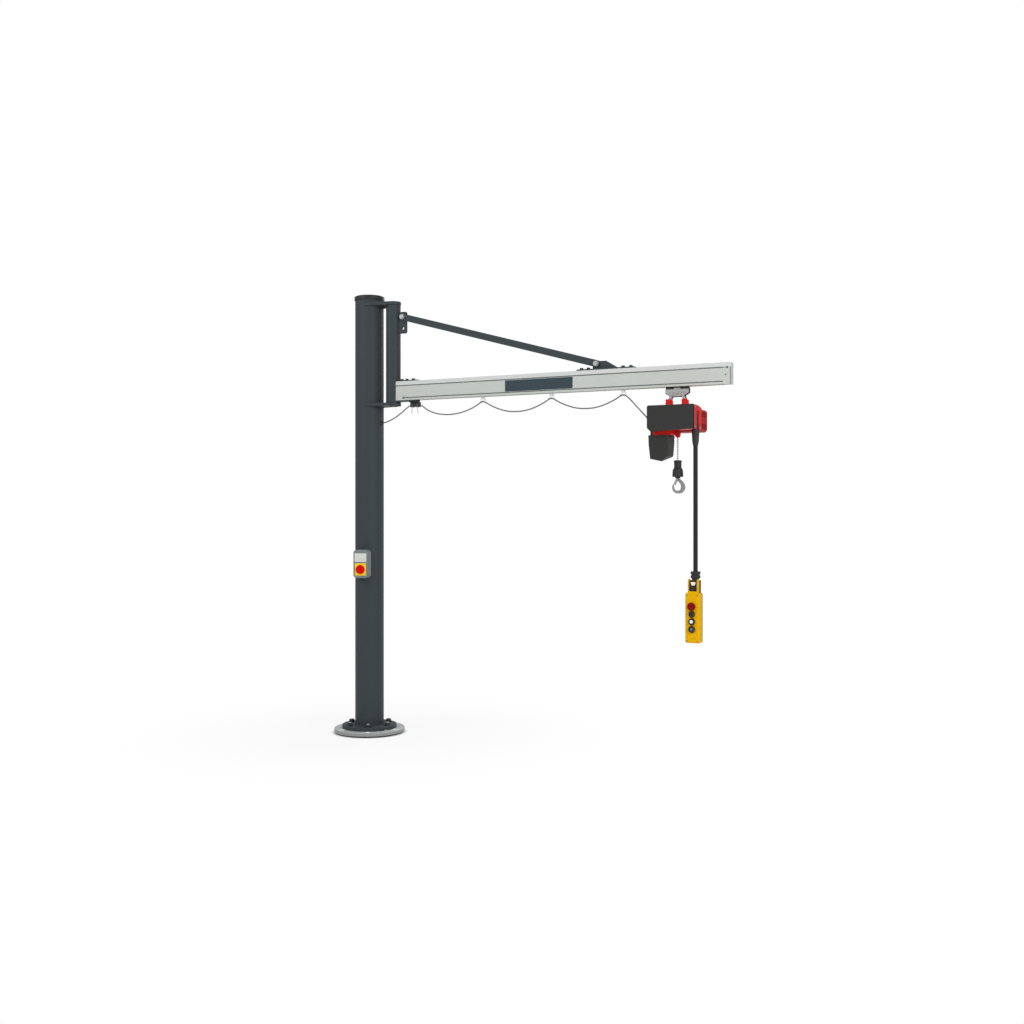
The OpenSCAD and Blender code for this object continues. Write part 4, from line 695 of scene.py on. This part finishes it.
def build_edge_wear_and_highlight():
    """One minus the dot product of the two normals, times a gain, times noise drawn apart by a
    gain and a start, each held between 0 and 1, times the amount. It marks the edges that are
    lightened, partly for wear and partly as a painted highlight."""
    tree, given, out = new_group("edge_wear_and_highlight", {"Radius": 0.001, "Amount": 0.5, "Breakup": 60.0},
                                 ["Mask"])
    soft = tree.nodes.new("ShaderNodeBevel")
    soft.samples = 4
    tree.links.new(given.outputs["Radius"], soft.inputs["Radius"])
    flat = tree.nodes.new("ShaderNodeNewGeometry")
    dot = tree.nodes.new("ShaderNodeVectorMath")
    dot.operation = "DOT_PRODUCT"
    tree.links.new(soft.outputs[0], dot.inputs[0])
    tree.links.new(flat.outputs["Normal"], dot.inputs[1])
    place = tree.nodes.new("ShaderNodeTexCoord").outputs["Object"]
    bent = math_node(tree, "SUBTRACT", 1.0, dot.outputs["Value"])
    raised = math_node(tree, "MULTIPLY", bent, EDGE_GAIN, clamp=True)
    broken = math_node(tree, "MULTIPLY_ADD", noise_node(tree, place, given.outputs["Breakup"]),
                       WEAR_AND_HIGHLIGHT_GAIN, WEAR_AND_HIGHLIGHT_START, clamp=True)
    wear_and_highlight_colour = math_node(tree, "MULTIPLY", raised, broken)
    tree.links.new(math_node(tree, "MULTIPLY", wear_and_highlight_colour, given.outputs["Amount"], clamp=True),
                   out.inputs["Mask"])
    return tree


def build_dust():
    """Z of the normal times a gain plus a start, held between 0 and 1, so that it begins on
    faces a little over half turned up; then times noise and the amount."""
    tree, given, out = new_group("settled_dust", {"Amount": 0.3}, ["Mask"])
    flat = tree.nodes.new("ShaderNodeNewGeometry")
    split = tree.nodes.new("ShaderNodeSeparateXYZ")
    tree.links.new(flat.outputs["Normal"], split.inputs[0])
    up = math_node(tree, "MULTIPLY_ADD", split.outputs["Z"], DUST_GAIN, DUST_START, clamp=True)
    place = tree.nodes.new("ShaderNodeTexCoord").outputs["Object"]
    patchy = math_node(tree, "MULTIPLY", up, noise_node(tree, place, 22.0, 4.0, 0.65))
    tree.links.new(math_node(tree, "MULTIPLY", patchy, given.outputs["Amount"], clamp=True),
                   out.inputs["Mask"])
    return tree


GROUPS = {"grain": build_grain(), "lines": build_drawn_lines(), "wear_and_highlight": build_edge_wear_and_highlight(),
          "dust": build_dust()}
print("groups:", [g.name for g in GROUPS.values()])

# %% [markdown]
# ## Finishes
# Every finish starts from one base colour. The broad grain darkens and lightens it slightly, edges
# take a lighter colour, partly wear showing what lies under the paint and partly a painted
# highlight, and dust greys the faces that look up. The fine grain goes to the bump: orange peel in
# paint, spark texture in moulded plastic, or the skin of a casting.
#
# A few pieces get painted light and shade on some of their parts. A *zone* finds such a part by
# where a point lies on the piece and which way its face looks, and gives it a colour of its own.


# %% One builder for all finishes
BROAD_SCALE, LINE_SCALE = 7.0, 700.0
# Radius and noise scale of the lighter edges, partly wear and partly a painted highlight
WEAR_AND_HIGHLIGHT_RADIUS, WEAR_AND_HIGHLIGHT_SCALE = 0.0012, 70.0
DUST_COLOUR = (176, 172, 165)
ROUGH_VARY, BUMP_STRENGTH = 0.10, 0.35


def place_group(tree, key, **values):
    """One effect group with its values; an underscore in a name stands for a space."""
    node = tree.nodes.new("ShaderNodeGroup")
    node.node_tree = GROUPS[key]
    for label, value in values.items():
        node.inputs[label.replace("_", " ")].default_value = value
    return node


def mix_colour(tree, share, first, second):
    """The first colour where share is 0 and the second where it is 1."""
    node = tree.nodes.new("ShaderNodeMix")
    node.data_type = "RGBA"
    factor, a, b = node.inputs[0], node.inputs[6], node.inputs[7]
    for socket, value in ((factor, share), (a, first), (b, second)):
        if isinstance(value, (int, float, tuple)):
            socket.default_value = value
        else:
            tree.links.new(value, socket)
    return node.outputs[2]


def zone_mask(tree, tests):
    """One where every test holds. A test names a value and its bounds: the piece's own X, Y or Z
    in metres, its distance R from the Z axis, or NX, NY or NZ, how far the face looks along an
    axis to either side."""
    given = tree.nodes.new("ShaderNodeTexCoord").outputs
    mask = 1.0
    for source, low, high in tests:
        if source == "R":
            flat, length = (tree.nodes.new("ShaderNodeVectorMath") for _ in range(2))
            flat.operation, length.operation = "MULTIPLY", "LENGTH"
            flat.inputs[1].default_value = (1.0, 1.0, 0.0)
            tree.links.new(given["Object"], flat.inputs[0])
            tree.links.new(flat.outputs[0], length.inputs[0])
            value = length.outputs["Value"]
        else:
            split = tree.nodes.new("ShaderNodeSeparateXYZ")
            tree.links.new(given["Normal" if source[0] == "N" else "Object"], split.inputs[0])
            value = split.outputs[source[-1]]
            if source[0] == "N":
                value = math_node(tree, "ABSOLUTE", value)
        inside = math_node(tree, "COMPARE", value, (low + high) / 2, (high - low) / 2)
        mask = math_node(tree, "MULTIPLY", inside, mask)
    return mask


def finish(name, colour, rough, metal=0.0, vary=0.10, fine=900.0, depth=0.02, lines=0.0,
           wear_and_highlight_colour=None, wear_and_highlight=0.0, dust=0.0, specular=0.5, zones=()):
    """Base colour times one plus or minus vary with the broad grain, then zones of painted light
    and shade, lighter edges that are partly wear and partly a painted highlight, and dust;
    roughness moves with the grain; the fine grain, and lines where asked, give the bump, whose
    depth is in millimetres."""
    material = bpy.data.materials.new(name)
    material.use_nodes = True
    tree = material.node_tree
    shader = tree.nodes["Principled BSDF"]
    base = linear(*colour)
    grain = place_group(tree, "grain", Fine_Scale=fine, Broad_Scale=BROAD_SCALE)
    dark = tuple(c * (1 - vary) for c in base[:3]) + (1.0,)
    light = tuple(min(1.0, c * (1 + vary)) for c in base[:3]) + (1.0,)
    shade = mix_colour(tree, grain.outputs["Broad"], dark, light)
    height = grain.outputs["Fine"]
    if lines:
        drawn = place_group(tree, "lines", Scale=LINE_SCALE)
        streak = math_node(tree, "MULTIPLY", drawn.outputs["Line"], lines)
        shade = mix_colour(tree, streak, shade, dark)
        height = math_node(tree, "ADD", height, drawn.outputs["Line"])
    # Zones lay painted light and painted shade on parts of the piece
    for tests, tint in zones:
        shade = mix_colour(tree, zone_mask(tree, tests), shade, linear(*tint))
    # The lighter edges are partly wear and partly a painted highlight
    if wear_and_highlight:
        edges = place_group(tree, "wear_and_highlight", Radius=WEAR_AND_HIGHLIGHT_RADIUS, Amount=wear_and_highlight, Breakup=WEAR_AND_HIGHLIGHT_SCALE)
        shade = mix_colour(tree, edges.outputs["Mask"], shade, linear(*wear_and_highlight_colour))
    if dust:
        settled = place_group(tree, "dust", Amount=dust)
        shade = mix_colour(tree, settled.outputs["Mask"], shade, linear(*DUST_COLOUR))
    tree.links.new(shade, shader.inputs["Base Color"])
    uneven = math_node(tree, "MULTIPLY_ADD", grain.outputs["Broad"], ROUGH_VARY,
                       rough - ROUGH_VARY / 2)
    tree.links.new(uneven, shader.inputs["Roughness"])
    bump = tree.nodes.new("ShaderNodeBump")
    bump.inputs["Strength"].default_value = BUMP_STRENGTH
    bump.inputs["Distance"].default_value = depth * MM
    tree.links.new(height, bump.inputs["Height"])
    tree.links.new(bump.outputs[0], shader.inputs["Normal"])
    shader.inputs["Metallic"].default_value = metal
    shader.inputs["Specular IOR Level"].default_value = specular
    return material


# %% The zones and the finishes
# Painted shade on the anchor plate's side, a painted contact shadow on the rim's lowest 8 mm,
# and the walls of its six holes painted white, standing in for the bright floor seen through them
PLATE_PAINTED_LIGHT_ZONES = [([("NZ", 0.0, 0.5), ("R", 0.198, 0.210)], (152, 154, 153)),
               ([("Z", -0.001, 0.008), ("R", 0.198, 0.210)], (34, 35, 35)),
               ([("NZ", 0.0, 0.5), ("R", 0.160, 0.198)], (255, 255, 255))]
# Painted shade on the jib's groove floors; a painted highlight on the band over the upper groove
PROFILE_PAINTED_LIGHT_ZONES = [([("NY", 0.7, 1.1), ("Y", -0.0262, 0.0262)], (112, 116, 116)),
                 ([("NY", 0.7, 1.1), ("Z", 2.0375, 2.0610)], (206, 208, 206))]
# Painted shade on the sides of the pendant's rear half and deep in the motor's cooling slots
PENDANT_SIDE_SHADE = [([("NX", 0.5, 1.1), ("Y", -0.0510, -0.0300)], (120, 98, 30))]
COOLING_SLOT_SHADE = [([("X", 2.0287, 2.0326), ("Y", 0.0, 0.104), ("Z", 1.7310, 1.8170)], (52, 4, 5))]
FINISHES = {
    "column_paint": finish("column_paint", (57, 65, 68), 0.55, vary=0.06, depth=0.05, fine=420.0,
                           wear_and_highlight_colour=(120, 124, 125), wear_and_highlight=0.05, dust=0.06, specular=0.2),
    "plate_paint": finish("plate_zinc", (194, 197, 196), 0.45, metal=0.2, vary=0.10, fine=260.0,
                          depth=0.04, wear_and_highlight_colour=(215, 215, 212), wear_and_highlight=0.2, dust=0.1, specular=0.3,
                          zones=PLATE_PAINTED_LIGHT_ZONES),
    "profile_paint": finish("profile_anodised", (192, 196, 191), 0.42, metal=0.05, vary=0.03,
                            lines=0.25, depth=0.006, fine=1200.0, wear_and_highlight_colour=(214, 216, 213),
                            wear_and_highlight=0.25, dust=0.04, specular=0.35, zones=PROFILE_PAINTED_LIGHT_ZONES),
    "dark_plastic": finish("dark_plastic", (46, 46, 45), 0.5, fine=1300.0, depth=0.05,
                           wear_and_highlight_colour=(80, 80, 78), wear_and_highlight=0.05, dust=0.05, specular=0.25),
    "bright_steel": finish("zinc_steel", (172, 174, 174), 0.42, metal=0.35, vary=0.08,
                           fine=500.0, depth=0.02, wear_and_highlight_colour=(205, 205, 203), wear_and_highlight=0.15,
                           specular=0.4),
    "switch_grey": finish("switch_grey", (120, 129, 131), 0.5, fine=1100.0, depth=0.05,
                          wear_and_highlight_colour=(150, 156, 158), wear_and_highlight=0.08, dust=0.06, specular=0.3),
    "white_plastic": finish("white_plastic", (240, 240, 238), 0.45, vary=0.02, fine=1100.0,
                            depth=0.02, dust=0.03, specular=0.3),
    "label_white": finish("label_white", (214, 215, 211), 0.5, vary=0.02, fine=1100.0,
                          depth=0.01, specular=0.2),
    "yellow_plastic": finish("yellow_plastic", (229, 174, 0), 0.5, vary=0.04, fine=1200.0,
                             depth=0.03, wear_and_highlight_colour=(236, 190, 40), wear_and_highlight=0.04, dust=0.03,
                             specular=0.08, zones=PENDANT_SIDE_SHADE),
    "red_plastic": finish("red_plastic", (126, 1, 2), 0.42, vary=0.05, fine=1200.0, depth=0.02,
                          specular=0.15),
    "hoist_red": finish("hoist_red", (206, 32, 32), 0.45, vary=0.05, fine=700.0, depth=0.03,
                        wear_and_highlight_colour=(214, 70, 64), wear_and_highlight=0.04, dust=0.03, specular=0.15),
    "motor_red": finish("motor_red", (164, 8, 10), 0.48, vary=0.06, fine=520.0, depth=0.05,
                        wear_and_highlight_colour=(186, 40, 38), wear_and_highlight=0.04, dust=0.04, specular=0.12,
                        zones=COOLING_SLOT_SHADE),
    "cable_grey": finish("cable_grey", (112, 115, 116), 0.55, vary=0.06, fine=900.0, depth=0.03,
                         specular=0.3),
    "hose_black": finish("hose_black", (28, 28, 28), 0.55, vary=0.08, fine=900.0, depth=0.05,
                         dust=0.05, specular=0.25),
    "hook_steel": finish("hook_steel", (148, 148, 147), 0.5, metal=0.25, vary=0.12, fine=330.0,
                         depth=0.08, wear_and_highlight_colour=(190, 190, 188), wear_and_highlight=0.2, specular=0.35),
    "blue_plastic": finish("blue_plastic", (96, 104, 130), 0.45, vary=0.05, fine=1100.0,
                           depth=0.02, specular=0.2),
    "slate_plastic": finish("slate_plastic", (38, 42, 54), 0.45, vary=0.05, fine=1100.0,
                            depth=0.02, specular=0.2),
    "dark_steel": finish("dark_steel", (54, 58, 60), 0.45, metal=0.2, vary=0.08, fine=500.0,
                         depth=0.02, wear_and_highlight_colour=(120, 122, 122), wear_and_highlight=0.08, specular=0.3),
    "name_plate_blue": finish("name_plate_blue", (46, 60, 69), 0.42, vary=0.05, fine=1300.0,
                              depth=0.02, specular=0.3),
    "signal_red": finish("signal_red", (226, 14, 6), 0.65, vary=0.03, fine=1200.0, depth=0.02,
                         specular=0.1),
    "signal_yellow": finish("signal_yellow", (255, 218, 44), 0.5, vary=0.03, fine=1200.0,
                            depth=0.02, specular=0.15),
}
print(len(FINISHES), "finishes")

# %% Dress every piece by its slot
# A few pieces have a finish of their own, and the others take their slot's.
SLOT_OF = {row["node"]: row["material_slot"] for row in frame["record"]["subparts"]}
OWN_FINISH = {"switch_knob": "signal_red", "switch_escutcheon": "signal_yellow",
              "name_plate": "name_plate_blue", "switch_label_field": "label_white",
              "button_black_centre": "slate_plastic", "button_blue_centre": "blue_plastic"}
for node_name, node_object in frame["nodes"].items():
    node_object.data.materials.clear()
    node_object.data.materials.append(FINISHES[OWN_FINISH.get(node_name, SLOT_OF[node_name])])
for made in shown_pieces():
    if "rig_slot" in made:
        made.data.materials.clear()
        made.data.materials.append(FINISHES[OWN_FINISH.get(made.name, made["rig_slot"])])

# %% [markdown]
# ## Floor and light
# The floor is a pale round sheet that fades to white, so no horizon shows behind the crane. It
# keeps a soft shadow under the foot, and darkens in a narrow ring right round the anchor plate. A
# large soft lamp stands in front to the left, a smaller one to the right, a weaker one behind,
# and an even white surround fills the rest.

# %% Floor
FLOOR_SIDES, FLOOR_DROP = 96, 0.0006
FLOOR_RINGS = np.array([0.0005, 0.4, 1.0, 2.0, 4.0, 8.0, 40.0])
# Distances from the column's axis between which each shade eases from its low share to one
FADE_START, FADE_END, FADE_LOW = 0.3, 1.6, 0.84
CONTACT_START, CONTACT_END, CONTACT_LOW = 0.2065, 0.228, 0.3


def eased(tree, value, start, end, low):
    """A share that is low up to start and one from end on, with a smooth step between them."""
    node = tree.nodes.new("ShaderNodeMapRange")
    node.interpolation_type = "SMOOTHSTEP"
    for label, number in (("From Min", start), ("From Max", end), ("To Min", low),
                          ("To Max", 1.0)):
        node.inputs[label].default_value = number
    tree.links.new(value, node.inputs["Value"])
    return node.outputs["Result"]


def mix_shaders(tree, share, first, second):
    """The first shader where share is 0 and the second where it is 1."""
    node = tree.nodes.new("ShaderNodeMixShader")
    for socket, source in zip(node.inputs, (share, first, second)):
        tree.links.new(source, socket)
    return node.outputs[0]


angle = np.linspace(0, 2 * np.pi, FLOOR_SIDES, endpoint=False)
floor_points = np.stack([FLOOR_RINGS[:, None] * np.cos(angle),
                         FLOOR_RINGS[:, None] * np.sin(angle),
                         np.zeros((len(FLOOR_RINGS), FLOOR_SIDES))], -1)
start = np.arange(len(FLOOR_RINGS) - 1)[:, None] * FLOOR_SIDES
here = np.arange(FLOOR_SIDES)
beside = (here + 1) % FLOOR_SIDES
floor_faces = np.stack([start + here, start + FLOOR_SIDES + here, start + FLOOR_SIDES + beside,
                        start + beside], -1).reshape(-1, 4)
floor_mesh = bpy.data.meshes.new("floor")
floor_mesh.from_pydata(floor_points.reshape(-1, 3).tolist(), [],
                       floor_faces.tolist() + [here.tolist()])
floor = bpy.data.objects.new("floor", floor_mesh)
bpy.context.scene.collection.objects.link(floor)
floor.location = (0, 0, -FLOOR_DROP)

floor_material = bpy.data.materials.new("pale_floor")
floor_material.use_nodes = True
tree = floor_material.node_tree
tree.nodes.clear()
diffuse = tree.nodes.new("ShaderNodeBsdfDiffuse")
diffuse.inputs["Color"].default_value = (0.82, 0.82, 0.82, 1)
glow = tree.nodes.new("ShaderNodeEmission")
glow.inputs["Color"].default_value = (1, 1, 1, 1)
rays = tree.nodes.new("ShaderNodeLightPath")
reach = tree.nodes.new("ShaderNodeVectorMath")
reach.operation = "LENGTH"
tree.links.new(tree.nodes.new("ShaderNodeTexCoord").outputs["Object"], reach.inputs[0])
distance = reach.outputs["Value"]
seen = math_node(tree, "ADD", rays.outputs["Is Camera Ray"], rays.outputs["Is Glossy Ray"],
                 clamp=True)
share = math_node(tree, "MULTIPLY", eased(tree, distance, FADE_START, FADE_END, FADE_LOW),
                  eased(tree, distance, CONTACT_START, CONTACT_END, CONTACT_LOW))
share = math_node(tree, "MULTIPLY", seen, share)
output = tree.nodes.new("ShaderNodeOutputMaterial")
tree.links.new(mix_shaders(tree, share, diffuse.outputs[0], glow.outputs[0]),
               output.inputs["Surface"])
floor_mesh.materials.append(floor_material)
print("floor fades to white by", FADE_END, "m")


# %% World and lamps
def soft_lamp(name, location, target, size, power):
    """A square area lamp that looks at a point: it tilts by the arctangent of the level distance
    over the height between them, and turns towards it."""
    data = bpy.data.lights.new(name, "AREA")
    data.shape = "SQUARE"
    data.size = size
    data.energy = power
    lamp = bpy.data.objects.new(name, data)
    lamp.location = location
    bpy.context.scene.collection.objects.link(lamp)
    away = np.array(location, float) - np.array(target, float)
    level = math.hypot(away[0], away[1])
    lamp.rotation_euler = (math.atan2(level, away[2]), 0, math.atan2(away[0], -away[1]))


def background(tree, colour, strength):
    """An even light from all round."""
    node = tree.nodes.new("ShaderNodeBackground")
    node.inputs["Color"].default_value = (*colour, 1)
    node.inputs["Strength"].default_value = strength
    return node.outputs[0]


soft_lamp("key_lamp", (-1.8, -4.2, 4.6), (0.9, 0, 1.4), 3.0, 106)
soft_lamp("side_lamp", (5.2, -2.6, 3.0), (1.2, 0, 1.4), 2.4, 112)
soft_lamp("back_lamp", (0.5, 4.5, 4.2), (0.9, 0, 1.4), 3.0, 75)
world = bpy.data.worlds.new("studio")
bpy.context.scene.world = world
world.use_nodes = True
tree = world.node_tree
tree.nodes.clear()
fill = background(tree, (0.95, 0.965, 0.975), 0.51)
white = background(tree, (1, 1, 1), 1.0)
rays = tree.nodes.new("ShaderNodeLightPath")
output = tree.nodes.new("ShaderNodeOutputWorld")
tree.links.new(mix_shaders(tree, rays.outputs["Is Camera Ray"], fill, white),
               output.inputs["Surface"])
bpy.context.scene.view_settings.view_transform = "Standard"
print("lamps set")
